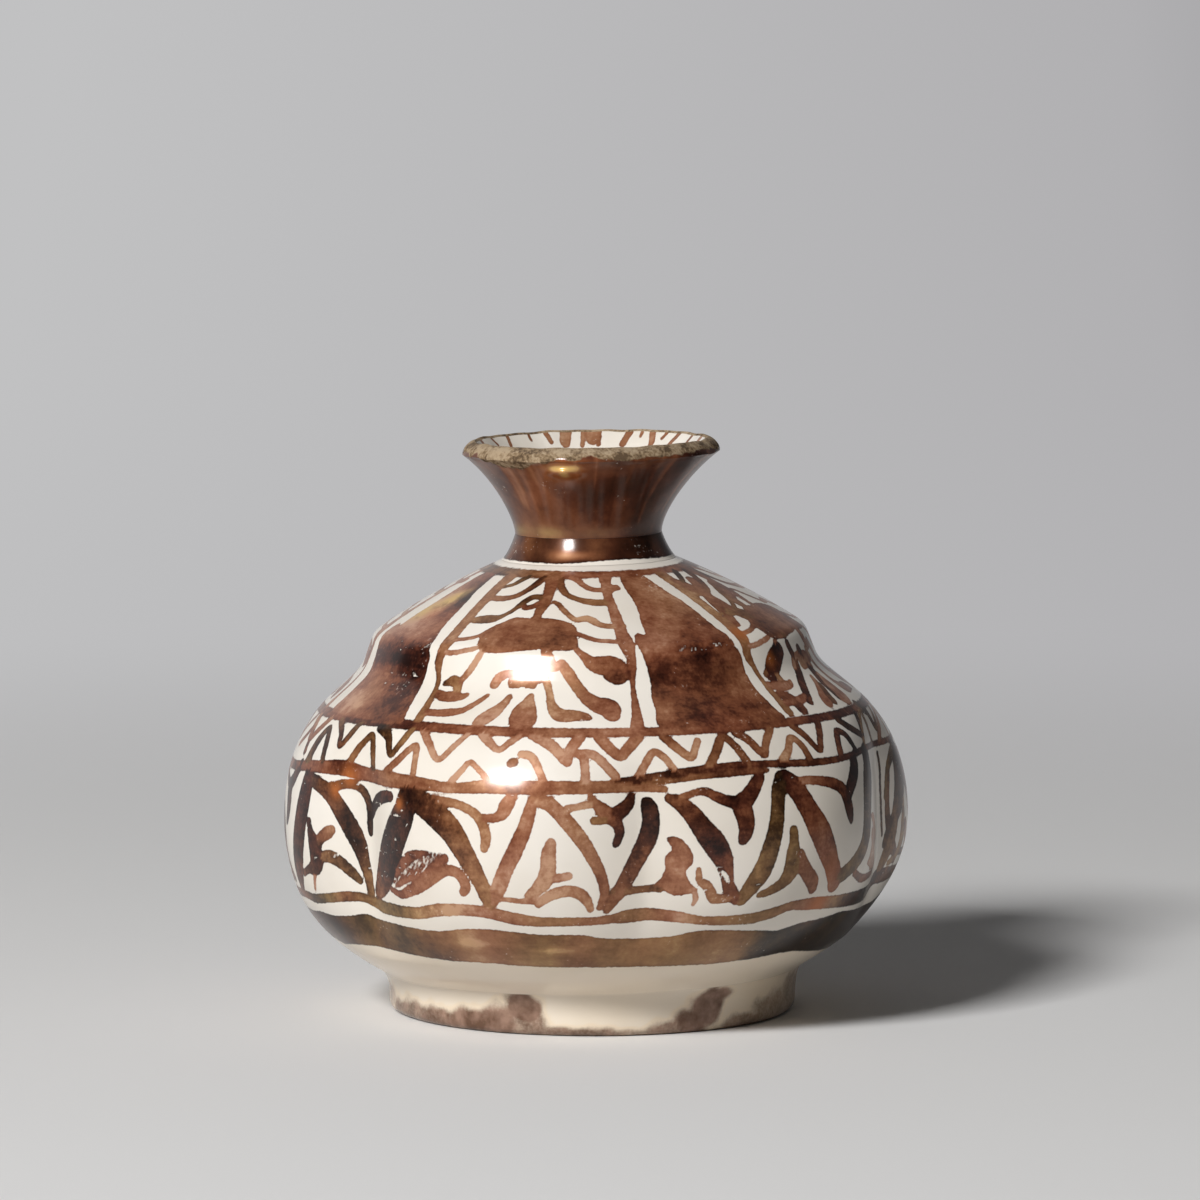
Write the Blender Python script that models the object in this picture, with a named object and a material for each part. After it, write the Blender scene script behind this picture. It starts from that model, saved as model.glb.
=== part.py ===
"""Footed ceramic spittoon: a lobed belly, a stepped shoulder, a collared neck and a flared mouth.

The vessel is made as the potter makes it. Foot, lower body, upper body, neck collar and mouth are
formed one by one and luted together with beads of slip. The front of the vessel faces -Y, +Z is up,
and the foot stands on the origin's plane.
"""

import math

import bmesh
import bpy
import numpy as np

# Driving dimensions in metres. Heights stack up from the floor, and radii are from the vessel's axis.
FOOT_HEIGHT = 0.0085
LOWER_BODY_RISE = 0.030
NOTCH_RISE = 0.0333
STEP_RISE = 0.0052
SHOULDER_RISE = 0.0140
COLLAR_RISE = 0.005
MOUTH_RISE = 0.0164
LIP_RISE = 0.0026

FOOT_RADIUS = 0.0412
FOOT_WALL = 0.006
FOOT_TAPER = 0.0005
FOOT_EDGE_ROUND = 0.0014
FOOT_LEDGE = 0.0010
BELLY_RADIUS = 0.0631
RIDGE_RADIUS = 0.0434
STEP_WIDTH = 0.0017
RIDGE_ROUND = 0.0016
NECK_BORE_RADIUS = 0.0098
NECK_WALL = 0.0034
COLLAR_TOP_WIDTH = 0.0013
COLLAR_FOOT_WIDTH = 0.0040
MOUTH_RADIUS = 0.0259
LIP_WIDTH = 0.0025
LIP_EDGE_ROUND = 0.0005

BODY_WALL = 0.0040
FLOOR_WALL = 0.0060
MOUTH_WALL = 0.0034
SPIGOT_DROP = 0.0030
SLIP_BEAD = 0.0024
SLIP_BEAD_FULLNESS = 0.4
BELLY_BEAD_HEIGHT = 0.0070
JOINT_GAP = 0.0003

# How far each curve holds its starting direction before it turns.
UNDERSIDE_PULL = 0.0035
UNDERSIDE_SLOPE = math.radians(32)
BELLY_PULL_DOWN = 0.0223
BELLY_PULL_UP = 0.0231
NOTCH_PULL = 0.0073
NOTCH_LEAN = math.radians(18)
SHOULDER_CROWN = 0.0009
COLLAR_PULL = 0.0018
THROAT_PULL = 0.0030
FLARE_PULL = 0.0085
FLARE_SLOPE = math.radians(37)

# Lobes: six swellings parted by sharp grooves, pressed in by hand while the wall was soft, so the
# angles of the grooves from the front are a little uneven. The last groove is the first one again.
GROOVE_ANGLES = tuple(math.radians(turn) for turn in (-51, 9, 75, 130, 190, 250, 309))
GROOVE_DEPTH = 0.0052
GROOVE_DROP = 0.028
GROOVE_REACH = 0.0225
GROOVE_FADE = 1.2

# Facets: columns round each lobe and round each plain ring, and steps along each curve.
LOBE_COLUMNS = 12
RING_COLUMNS = 48
LONG_CURVE_STEPS = 9
SHORT_CURVE_STEPS = 5
ROUND_STEPS = 3
SHARP_EDGE = math.radians(40)
MERGE_DISTANCE = 1e-6

# Heights and radii that follow from the driving dimensions.
BELLY_HEIGHT = FOOT_HEIGHT + LOWER_BODY_RISE
NOTCH_HEIGHT = BELLY_HEIGHT + NOTCH_RISE
RIDGE_HEIGHT = NOTCH_HEIGHT + STEP_RISE
NECK_SEAT_HEIGHT = RIDGE_HEIGHT + SHOULDER_RISE
COLLAR_TOP_HEIGHT = NECK_SEAT_HEIGHT + COLLAR_RISE
MOUTH_HEIGHT = COLLAR_TOP_HEIGHT + MOUTH_RISE
LIP_HEIGHT = MOUTH_HEIGHT + LIP_RISE
FLOOR_HEIGHT = FOOT_HEIGHT + FLOOR_WALL
SPIGOT_RADIUS = NECK_BORE_RADIUS + NECK_WALL
NECK_HOLE_RADIUS = SPIGOT_RADIUS + JOINT_GAP
COLLAR_TOP_RADIUS = NECK_HOLE_RADIUS + COLLAR_TOP_WIDTH
COLLAR_FOOT_RADIUS = NECK_HOLE_RADIUS + COLLAR_FOOT_WIDTH
LIP_RADIUS = MOUTH_RADIUS - LIP_WIDTH
LOBED_COLUMNS = (len(GROOVE_ANGLES) - 1) * LOBE_COLUMNS

# Finishes: colour, roughness, metallic.
WHITE_GLAZE = ((0.83, 0.79, 0.70), 0.16, 0.0)
LUSTRE_PAINT = ((0.16, 0.06, 0.035), 0.24, 0.35)
DRIED_SLIP = ((0.70, 0.63, 0.53), 0.60, 0.0)


def cubic(start, start_pull, end_pull, end, steps):
    """Points of a cubic curve in the half-section plane, as rows of radius and height."""
    t = np.linspace(0.0, 1.0, steps + 1)[:, None]
    handles = [np.array(point) for point in (start, start_pull, end_pull, end)]
    weights = [(1 - t) ** 3, 3 * t * (1 - t) ** 2, 3 * t**2 * (1 - t), t**3]
    return sum(weight * handle for weight, handle in zip(weights, handles))


def rounded_corner(before, corner, after, size, steps=ROUND_STEPS):
    """A corner cut back by size along both sides and joined by a smooth curve."""
    before, corner, after = (np.array(point) for point in (before, corner, after))
    sides = [before - corner, after - corner]
    reach = [min(size, 0.45 * np.linalg.norm(side)) for side in sides]
    start, end = (corner + side / np.linalg.norm(side) * cut for side, cut in zip(sides, reach))
    t = np.linspace(0.0, 1.0, steps + 1)[:, None]
    return (1 - t) ** 2 * start + 2 * t * (1 - t) * corner + t**2 * end


def inset(points, distance):
    """The same run of wall moved towards the inside of the vessel by a wall thickness."""
    tangents = np.gradient(points, axis=0)
    tangents /= np.linalg.norm(tangents, axis=1)[:, None]
    inward = np.column_stack((-tangents[:, 1], tangents[:, 0]))
    return points + inward * distance


def radius_at(points, height):
    """Radius of a rising run of wall at one height."""
    return float(np.interp(height, points[:, 1], points[:, 0]))


def lower_wall():
    """Outside of the lower body, from its seat on the foot up to the widest line."""
    seat_radius = FOOT_RADIUS + FOOT_LEDGE
    pull = (
        seat_radius + UNDERSIDE_PULL * math.cos(UNDERSIDE_SLOPE),
        FOOT_HEIGHT + UNDERSIDE_PULL * math.sin(UNDERSIDE_SLOPE),
    )
    return cubic(
        (seat_radius, FOOT_HEIGHT),
        pull,
        (BELLY_RADIUS, BELLY_HEIGHT - BELLY_PULL_DOWN),
        (BELLY_RADIUS, BELLY_HEIGHT),
        LONG_CURVE_STEPS,
    )


def belly_wall():
    """Outside of the upper body, from the widest line up to the notch under the ridge."""
    notch_radius = RIDGE_RADIUS + STEP_WIDTH
    pull = (
        notch_radius + NOTCH_PULL * math.sin(NOTCH_LEAN),
        NOTCH_HEIGHT - NOTCH_PULL * math.cos(NOTCH_LEAN),
    )
    return cubic(
        (BELLY_RADIUS, BELLY_HEIGHT),
        (BELLY_RADIUS, BELLY_HEIGHT + BELLY_PULL_UP),
        pull,
        (notch_radius, NOTCH_HEIGHT),
        LONG_CURVE_STEPS,
    )


def shoulder_wall():
    """Outside of the shoulder, over the rounded ridge and up its crowned slope to the neck."""
    ridge = np.array((RIDGE_RADIUS, RIDGE_HEIGHT))
    seat = np.array((COLLAR_FOOT_RADIUS, NECK_SEAT_HEIGHT))
    run = seat - ridge
    outward = np.array((run[1], -run[0])) / np.linalg.norm(run)
    pulls = [ridge + run * share + outward * SHOULDER_CROWN for share in (1 / 3, 2 / 3)]
    notch = (RIDGE_RADIUS + STEP_WIDTH, NOTCH_HEIGHT)
    corner = rounded_corner(notch, ridge, pulls[0], RIDGE_ROUND)
    slope = cubic(corner[-1], pulls[0], pulls[1], seat, SHORT_CURVE_STEPS)
    return np.vstack((corner, slope[1:]))


def shoulder_inside_height(radius, clear=0.0):
    """Height of the shoulder's inner face at a radius, with its last slope carried on to the neck hole."""
    edge, before = inset(shoulder_wall(), BODY_WALL + clear)[[-1, -2]]
    slope = (edge[1] - before[1]) / (before[0] - edge[0])
    return float(edge[1] + (edge[0] - radius) * slope)


def groove_fade(height):
    """Share of the full groove depth at a height: all of it at the widest line, none at the ends."""
    reach = GROOVE_REACH if height > BELLY_HEIGHT else GROOVE_DROP
    away = min(abs(height - BELLY_HEIGHT) / reach, 1.0)
    return (1 - away**2) ** GROOVE_FADE


def press_lobes(mesh):
    """Turn the columns of a solid to the grooves, and press its wall in from each lobe's crest to them."""
    column_step = 2 * math.pi / LOBED_COLUMNS
    for vertex in mesh.verts:
        radius = math.hypot(vertex.co.x, vertex.co.y)
        column = round(math.atan2(vertex.co.y, vertex.co.x) / column_step) % LOBED_COLUMNS
        lobe, step = divmod(column, LOBE_COLUMNS)
        share = step / LOBE_COLUMNS
        pressed = radius - GROOVE_DEPTH * groove_fade(vertex.co.z) * (2 * share - 1) ** 2
        angle = (1 - share) * GROOVE_ANGLES[lobe] + share * GROOVE_ANGLES[lobe + 1]
        if radius > GROOVE_DEPTH:
            vertex.co.x = pressed * math.sin(angle)
            vertex.co.y = -pressed * math.cos(angle)


def finish_material(name, finish):
    colour, roughness, metallic = finish
    material = bpy.data.materials.new(name)
    material.use_nodes = True
    shader = material.node_tree.nodes["Principled BSDF"]
    shader.inputs["Base Color"].default_value = (*colour, 1.0)
    shader.inputs["Roughness"].default_value = roughness
    shader.inputs["Metallic"].default_value = metallic
    return material


def turned_piece(name, section, finish, lobed=False):
    """Turn a half section of radius and height rows into a closed named solid."""
    columns = LOBED_COLUMNS if lobed else RING_COLUMNS
    solid = bmesh.new()
    corners = [solid.verts.new((radius, 0.0, height)) for radius, height in section]
    edges = [solid.edges.new(pair) for pair in zip(corners, corners[1:])]
    if section[0][0] > 0.0:
        edges.append(solid.edges.new((corners[-1], corners[0])))
    bmesh.ops.spin(
        solid,
        geom=corners + edges,
        cent=(0.0, 0.0, 0.0),
        axis=(0.0, 0.0, 1.0),
        angle=2 * math.pi,
        steps=columns,
        use_merge=True,
    )
    bmesh.ops.remove_doubles(solid, verts=solid.verts, dist=MERGE_DISTANCE)
    if lobed:
        press_lobes(solid)
    bmesh.ops.recalc_face_normals(solid, faces=solid.faces)
    if solid.calc_volume(signed=True) < 0.0:
        bmesh.ops.reverse_faces(solid, faces=solid.faces)
    mesh = bpy.data.meshes.new(name)
    solid.to_mesh(mesh)
    solid.free()
    mesh.shade_smooth()
    mesh.set_sharp_from_angle(angle=SHARP_EDGE)
    mesh.materials.append(finish_material(name + "_finish", finish))
    piece = bpy.data.objects.new(name, mesh)
    bpy.context.collection.objects.link(piece)
    return piece


def foot_ring():
    """Turned ring foot with rounded standing edges, a flat standing face and a flat seat on top."""
    top = FOOT_HEIGHT - JOINT_GAP
    outer_top = (FOOT_RADIUS, top)
    outer_foot = (FOOT_RADIUS - FOOT_TAPER, 0.0)
    inner_foot = (FOOT_RADIUS - FOOT_WALL + FOOT_TAPER, 0.0)
    inner_top = (FOOT_RADIUS - FOOT_WALL, top)
    outer_edge = rounded_corner(outer_top, outer_foot, inner_foot, FOOT_EDGE_ROUND)
    inner_edge = rounded_corner(outer_foot, inner_foot, inner_top, FOOT_EDGE_ROUND)
    section = [outer_top, *outer_edge, *inner_edge, inner_top]
    return turned_piece("foot_ring", section, WHITE_GLAZE)


def foot_slip_bead():
    """Bead of slip worked into the corner between the foot's inside and the base above it."""
    outer = FOOT_RADIUS - FOOT_WALL - JOINT_GAP
    top = FOOT_HEIGHT - JOINT_GAP
    lower_edge = (outer, top - SLIP_BEAD)
    inner_edge = (outer - SLIP_BEAD, top)
    hollow = SLIP_BEAD_FULLNESS * SLIP_BEAD
    face = rounded_corner(lower_edge, (outer - hollow, top - hollow), inner_edge, SLIP_BEAD)
    section = [(outer, top), lower_edge, *face, inner_edge]
    return turned_piece("foot_slip_bead", section, DRIED_SLIP)


def lower_body():
    """Lobed bowl with its floor, from the foot up to the joint at the widest line."""
    outside = lower_wall()
    inside = inset(outside, BODY_WALL)
    inside[-1] = (BELLY_RADIUS - BODY_WALL, BELLY_HEIGHT - 0.5 * JOINT_GAP)
    outside[-1, 1] = inside[-1, 1]
    above_floor = inside[inside[:, 1] > FLOOR_HEIGHT + 0.5 * JOINT_GAP]
    floor_edge = (radius_at(inside, FLOOR_HEIGHT), FLOOR_HEIGHT)
    section = [(0.0, FOOT_HEIGHT), *outside, *above_floor[::-1], floor_edge, (0.0, FLOOR_HEIGHT)]
    return turned_piece("lower_body", section, WHITE_GLAZE, lobed=True)


def belly_slip_bead():
    """Bead of slip smoothed over the belly joint on the inside, where the two halves meet."""
    half = 0.5 * BELLY_BEAD_HEIGHT
    below = radius_at(inset(lower_wall(), BODY_WALL), BELLY_HEIGHT - half)
    above = radius_at(inset(belly_wall(), BODY_WALL), BELLY_HEIGHT + half)
    outer = min(below, above) - JOINT_GAP
    turns = np.linspace(-0.5 * math.pi, 0.5 * math.pi, SHORT_CURVE_STEPS + 1)
    face = [(outer - SLIP_BEAD * math.cos(t), BELLY_HEIGHT + half * math.sin(t)) for t in turns]
    return turned_piece("belly_slip_bead", face, DRIED_SLIP, lobed=True)


def upper_body():
    """Upper half of the body: lobes dying out, notch, ridge, shoulder and the flat seat for the neck."""
    outside = np.vstack((belly_wall(), shoulder_wall()))
    inside = inset(outside, BODY_WALL)
    inside[0] = (BELLY_RADIUS - BODY_WALL, BELLY_HEIGHT + 0.5 * JOINT_GAP)
    outside[0, 1] = inside[0, 1]
    hole_bottom = (NECK_HOLE_RADIUS, shoulder_inside_height(NECK_HOLE_RADIUS))
    hole_top = (NECK_HOLE_RADIUS, NECK_SEAT_HEIGHT)
    section = [*outside, hole_top, hole_bottom, *inside[::-1]]
    return turned_piece("upper_body", section, LUSTRE_PAINT, lobed=True)


def neck_slip_bead():
    """Bead of slip under the shoulder, in the corner round the spigot that comes through its hole."""
    inner = NECK_HOLE_RADIUS
    face_top = shoulder_inside_height(inner, JOINT_GAP)
    face_edge = shoulder_inside_height(inner + SLIP_BEAD, JOINT_GAP)
    section = [(inner, face_top), (inner, face_top - SLIP_BEAD), (inner + SLIP_BEAD, face_edge)]
    return turned_piece("neck_slip_bead", section, DRIED_SLIP)


def neck_collar():
    """Hollowed collar round the neck joint, a coil of paste turned to a concave fillet."""
    foot = (COLLAR_FOOT_RADIUS, NECK_SEAT_HEIGHT + JOINT_GAP)
    top = (COLLAR_TOP_RADIUS, COLLAR_TOP_HEIGHT)
    foot_pull = (COLLAR_FOOT_RADIUS - COLLAR_PULL, foot[1])
    top_pull = (COLLAR_TOP_RADIUS, COLLAR_TOP_HEIGHT - COLLAR_PULL)
    hollow = cubic(foot, foot_pull, top_pull, top, SHORT_CURVE_STEPS)
    section = [*hollow[::-1], (NECK_HOLE_RADIUS, foot[1]), (NECK_HOLE_RADIUS, COLLAR_TOP_HEIGHT)]
    return turned_piece("neck_collar", section, LUSTRE_PAINT)


def mouth_funnel():
    """Flared mouth with a bevelled lip, stepped down to a spigot that drops through the collar."""
    base_height = COLLAR_TOP_HEIGHT + JOINT_GAP
    rim = (MOUTH_RADIUS, MOUTH_HEIGHT)
    lip = (LIP_RADIUS, LIP_HEIGHT)
    flare = (
        MOUTH_RADIUS - FLARE_PULL * math.cos(FLARE_SLOPE),
        MOUTH_HEIGHT - FLARE_PULL * math.sin(FLARE_SLOPE),
    )
    base = (COLLAR_TOP_RADIUS, base_height)
    outside = cubic(base, (COLLAR_TOP_RADIUS, base_height + THROAT_PULL), flare, rim, LONG_CURVE_STEPS)
    inner_flare = (flare[0] - MOUTH_WALL, flare[1])
    throat = (NECK_BORE_RADIUS, base_height)
    inside = cubic(throat, (NECK_BORE_RADIUS, base_height + THROAT_PULL), inner_flare, lip, LONG_CURVE_STEPS)
    rim_edge = rounded_corner(outside[-2], rim, lip, LIP_EDGE_ROUND)
    lip_edge = rounded_corner(rim, lip, inside[-2], LIP_EDGE_ROUND)
    spigot_foot = shoulder_inside_height(NECK_HOLE_RADIUS) - SPIGOT_DROP
    section = [
        *lip_edge[::-1],
        *rim_edge[::-1],
        *outside[-2::-1],
        (SPIGOT_RADIUS, base_height),
        (SPIGOT_RADIUS, spigot_foot),
        (NECK_BORE_RADIUS, spigot_foot),
        *inside[:-1],
    ]
    return turned_piece("mouth_funnel", section, LUSTRE_PAINT)


for leftover in list(bpy.data.objects):
    bpy.data.objects.remove(leftover)

vessel = bpy.data.objects.new("vessel", None)
bpy.context.collection.objects.link(vessel)
for make_piece in (
    foot_ring,
    foot_slip_bead,
    lower_body,
    belly_slip_bead,
    upper_body,
    neck_slip_bead,
    neck_collar,
    mouth_funnel,
):
    make_piece().parent = vessel
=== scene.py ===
import math

import bpy
import numpy as np
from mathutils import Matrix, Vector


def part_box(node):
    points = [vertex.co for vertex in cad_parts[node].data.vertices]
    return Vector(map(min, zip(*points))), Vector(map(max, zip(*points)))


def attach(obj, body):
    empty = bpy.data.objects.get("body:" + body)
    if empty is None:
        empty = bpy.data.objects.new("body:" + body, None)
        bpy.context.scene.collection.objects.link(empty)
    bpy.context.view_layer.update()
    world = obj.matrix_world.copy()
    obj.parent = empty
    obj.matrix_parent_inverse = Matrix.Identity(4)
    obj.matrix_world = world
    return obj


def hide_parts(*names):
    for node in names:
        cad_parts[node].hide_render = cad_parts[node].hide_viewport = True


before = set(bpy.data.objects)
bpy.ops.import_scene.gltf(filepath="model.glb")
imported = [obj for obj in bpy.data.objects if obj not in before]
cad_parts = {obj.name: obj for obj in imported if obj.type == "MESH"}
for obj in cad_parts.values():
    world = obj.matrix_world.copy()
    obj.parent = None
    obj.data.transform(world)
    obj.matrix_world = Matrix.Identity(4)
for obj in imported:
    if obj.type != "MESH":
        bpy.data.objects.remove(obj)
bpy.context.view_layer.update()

# Foot ring
# A low ring of stonepaste, turned on the wheel and luted under the bowl. It carries the same white
# glaze as the body, thin and dirty here, and flaked off in brown patches along the standing edge.
MM = 0.001
FOOT_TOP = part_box("foot_ring")[1].z / MM
FOOT_RADIUS = 41.5
FOOT_WALL = 6.0
FOOT_TAPER = 0.5
FOOT_COLUMNS = 360
FOOT_ROW = 0.45
SHARP_EDGE = math.radians(40)
BODY_LEAN = math.radians(0.96)
# Waves left in the wall by hand and kiln: size in mm, number round the pot, start, twist for each mm up.
WOBBLES = ((0.16, 2, 0.6, 0.02), (0.1, 3, 2.1, -0.03), (0.05, 8, 0.0, 0.17), (0.04, 13, 1.0, -0.23))
# Sideways shift of the wall in mm: at the foot, and then the start, end and change of each bend.
FOOT_SHIFT = -0.5
SHIFT_BENDS = ((10.0, 34.0, 1.7), (42.0, 72.0, -0.9), (97.0, 115.0, 0.8))
# Coats where nothing is laid: mm away from paint and from bare paste, then shades and shares.
NO_PAINT = 9.0
PLAIN_COATS = {
    "lustre_mm": NO_PAINT,
    "bare_mm": NO_PAINT,
    "tone": 0.5,
    "olive": 0.2,
    "flush": 0.0,
    "soil": 0.0,
    "brushed": 1.0,
}


def cubic(start, start_pull, end_pull, end, steps=60):
    """Points of a cubic curve in the half section, as rows of radius and height in mm."""
    t = np.linspace(0.0, 1.0, steps + 1)[:, None]
    handles = [np.array(point, float) for point in (start, start_pull, end_pull, end)]
    weights = [(1 - t) ** 3, 3 * t * (1 - t) ** 2, 3 * t**2 * (1 - t), t**3]
    return sum(weight * handle for weight, handle in zip(weights, handles))


def even_rows(points, spacing):
    """The same run of wall with its rows set at an even spacing along the curve."""
    points = np.array(points, float)
    steps = np.hypot(*np.diff(points, axis=0).T)
    along = np.concatenate(([0.0], np.cumsum(steps)))
    places = np.linspace(0.0, along[-1], max(1, round(along[-1] / spacing)) + 1)
    return np.column_stack([np.interp(places, along, points[:, axis]) for axis in (0, 1)])


def part_way(value, start, end):
    """How far a value has come from a start to an end, as a share from 0 to 1."""
    return np.clip((value - start) / (end - start), 0.0, 1.0)


def turn_from(angle, middle):
    """Angle from a middle, the short way round the pot."""
    return (angle - middle + 180.0) % 360.0 - 180.0


def hand_wobble(angle, height):
    """How far hand and kiln have moved the wall from a true circle, in mm."""
    turn = np.radians(angle)
    return sum(size * np.sin(waves * turn + start + twist * height) for size, waves, start, twist in WOBBLES)


def turned_places(angle, radius, height):
    """Places in mm on a turned wall, with angles from the front and positive to the right."""
    turn = np.radians(angle)
    return np.column_stack((radius * np.sin(turn), -radius * np.cos(turn), height))


def hand_shift(height):
    """How far each level sits to the right of the foot's middle, as the hands left it, in mm."""
    shift = np.full(len(height), FOOT_SHIFT)
    for start, end, change in SHIFT_BENDS:
        share = part_way(height, start, end)
        shift += change * share * share * (3.0 - 2.0 * share)
    return shift


def foot_wall(angle, radius, height):
    """The ring's wall. It stands level, and its top is askew under the leaning body."""
    places = turned_places(angle, radius + hand_wobble(angle, height), height)
    places[:, 2] += height / FOOT_TOP * math.tan(BODY_LEAN) * places[:, 0]
    places[:, 0] += hand_shift(height)
    return places


def turned_rows(sections):
    """Every vertex of a turned piece, as angle, radius and height, with the rows they belong to."""
    angles, radii, heights, counts = [], [], [], []
    for rows, columns in sections:
        for radius, height in rows:
            count = columns if radius > 0.01 else 1
            angles.append(np.arange(count) * 360.0 / count - 180.0)
            radii.append(np.full(count, radius))
            heights.append(np.full(count, height))
            counts.append(count)
    return np.concatenate(angles), np.concatenate(radii), np.concatenate(heights), counts


def turned_faces(counts):
    """Faces between each row of vertices and the next, and from the last row back to the first."""
    starts = np.concatenate(([0], np.cumsum(counts)[:-1]))
    pairs = list(zip(range(len(counts)), range(1, len(counts))))
    if counts[0] > 1:
        pairs.append((len(counts) - 1, 0))
    faces = []
    for low, high in pairs:
        few = min(counts[low], counts[high])
        many = max(counts[low], counts[high])
        here = np.arange(many)
        after = (here + 1) % many
        if few == many:
            quad = (starts[low] + here, starts[low] + after, starts[high] + after, starts[high] + here)
            faces += np.column_stack(quad).tolist()
        elif few == 1:
            turn = (here, after) if counts[high] == 1 else (after, here)
            rim, pole = (low, high) if counts[high] == 1 else (high, low)
            fan = (starts[rim] + turn[0], starts[rim] + turn[1], np.full(many, starts[pole]))
            faces += np.column_stack(fan).tolist()
        else:
            coarse = np.arange(few)
            beyond = (coarse + 1) % few
            fine, wide = (low, high) if counts[low] == many else (high, low)
            first, middle, last = (starts[fine] + (2 * coarse + step) % many for step in (0, 1, 2))
            near, far = starts[wide] + coarse, starts[wide] + beyond
            for part in ((first, middle, near), (middle, last, far), (middle, far, near)):
                faces += np.column_stack(part if fine == low else part[::-1]).tolist()
    return faces


def turned_piece(name, sections, wall, coats):
    """Make a turned piece from its half section, with one painted coat value for each vertex."""
    angle, radius, height, counts = turned_rows(sections)
    mesh = bpy.data.meshes.new(name)
    mesh.from_pydata((wall(angle, radius, height) * MM).tolist(), [], turned_faces(counts))
    laid = coats(angle, radius, height)
    for coat, value in PLAIN_COATS.items():
        layer = mesh.attributes.new(coat, "FLOAT", "POINT")
        values = laid.get(coat, np.full(len(angle), value))
        layer.data.foreach_set("value", values.astype(np.float32))
    mesh.shade_smooth()
    mesh.set_sharp_from_angle(angle=SHARP_EDGE)
    piece = bpy.data.objects.new(name + "_glazed", mesh)
    bpy.context.collection.objects.link(piece)
    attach(piece, "root")
    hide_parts(name)
    return piece


def hex_colour(code):
    """Linear colour from an sRGB hex value."""
    parts = [int(code[start : start + 2], 16) / 255 for start in (1, 3, 5)]
    return [part / 12.92 if part <= 0.04045 else ((part + 0.055) / 1.055) ** 2.4 for part in parts] + [1.0]


def add_node(tree, kind, settings=None, sockets=None):
    """Add a node with its settings, and set or link its sockets, named, numbered or in order."""
    node = tree.nodes.new("ShaderNode" + kind)
    for name, value in (settings or {}).items():
        if name == "stops":
            ramp = node.color_ramp.elements
            for stop in value[2:]:
                ramp.new(stop[0])
            for element, (position, code) in zip(ramp, value):
                element.position = position
                element.color = hex_colour(code)
        else:
            setattr(node, name, value)
    for name, value in dict(enumerate(sockets) if isinstance(sockets, list) else sockets or {}).items():
        if isinstance(value, bpy.types.NodeSocket):
            tree.links.new(value, node.inputs[name])
        else:
            node.inputs[name].default_value = value
    return node


def grain(size):
    """Noise scale whose features are about one size in mm, for coordinates in metres."""
    return 1.0 / (size * MM)


# Tin-white glaze over stonepaste, brushed with copper lustre and fired again. The eye sees a warm
# white gloss, strokes from rose to chocolate with a metal sheen, and dull brown paste where it is bare.
glaze = bpy.data.materials.new("lustre_painted_white_glaze")
glaze.use_nodes = True
tree = glaze.node_tree
SMOOTH = {"interpolation_type": "SMOOTHSTEP"}
COLOURS = {"data_type": "RGBA"}
NUMBERS = {"data_type": "FLOAT"}
TIMES = {"operation": "MULTIPLY"}
TIMES_PLUS = {"operation": "MULTIPLY_ADD"}
LESS = {"operation": "SUBTRACT"}
# Marks of the finish: name, size in mm and detail. Brush streaks run round the pot, drawn out tenfold.
GRAINS = (
    ("edge", 0.9, 4.0), ("pinhole", 0.7, 3.0), ("rubbing", 8.0, 4.0), ("mottle", 2.6, 4.0),
    ("fleck", 0.7, 3.0), ("firing", 10.0, 3.0), ("olive", 17.0, 3.0), ("cloud", 24.0, 3.0),
    ("flake", 3.2, 5.0), ("ripple", 7.0, 2.0), ("grit", 0.6, 3.0), ("streak", 0.9, 3.0),
)
STREAK_SCALE = (0.1, 0.1, 1.0)
place = add_node(tree, "TexCoord").outputs["Object"]
drawn_out = add_node(tree, "Mapping", {}, {"Vector": place, "Scale": STREAK_SCALE}).outputs[0]
coat = {name: add_node(tree, "Attribute", {"attribute_name": name}).outputs["Fac"] for name in PLAIN_COATS}
noise = {}
for name, size, detail in GRAINS:
    sockets = {"Vector": drawn_out if name == "streak" else place, "Scale": grain(size), "Detail": detail}
    noise[name] = add_node(tree, "TexNoise", {}, sockets).outputs["Fac"]

# The strokes' edges wander a little, and rubbing has opened pinholes in them.
EDGE_WANDER = 0.42
EDGE_SOFT = 0.11
EDGE_LINE = 0.5 * EDGE_WANDER
RUBBING_SHARE = 0.8
RUBBED_FROM = 1.14
RUBBED_TO = 1.26
RUBBED_LEFT = 0.6
edge = add_node(tree, "Math", TIMES_PLUS, [noise["edge"], EDGE_WANDER, coat["lustre_mm"]]).outputs[0]
painted = add_node(
    tree, "MapRange", SMOOTH, [edge, EDGE_LINE - EDGE_SOFT, EDGE_LINE + EDGE_SOFT, 1.0, 0.0]
).outputs[0]
speckle = add_node(tree, "Math", TIMES_PLUS, [noise["rubbing"], RUBBING_SHARE, noise["pinhole"]]).outputs[0]
kept = add_node(tree, "MapRange", SMOOTH, [speckle, RUBBED_FROM, RUBBED_TO, 1.0, RUBBED_LEFT]).outputs[0]
lustre = add_node(tree, "Math", TIMES, [painted, kept]).outputs[0]

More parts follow.
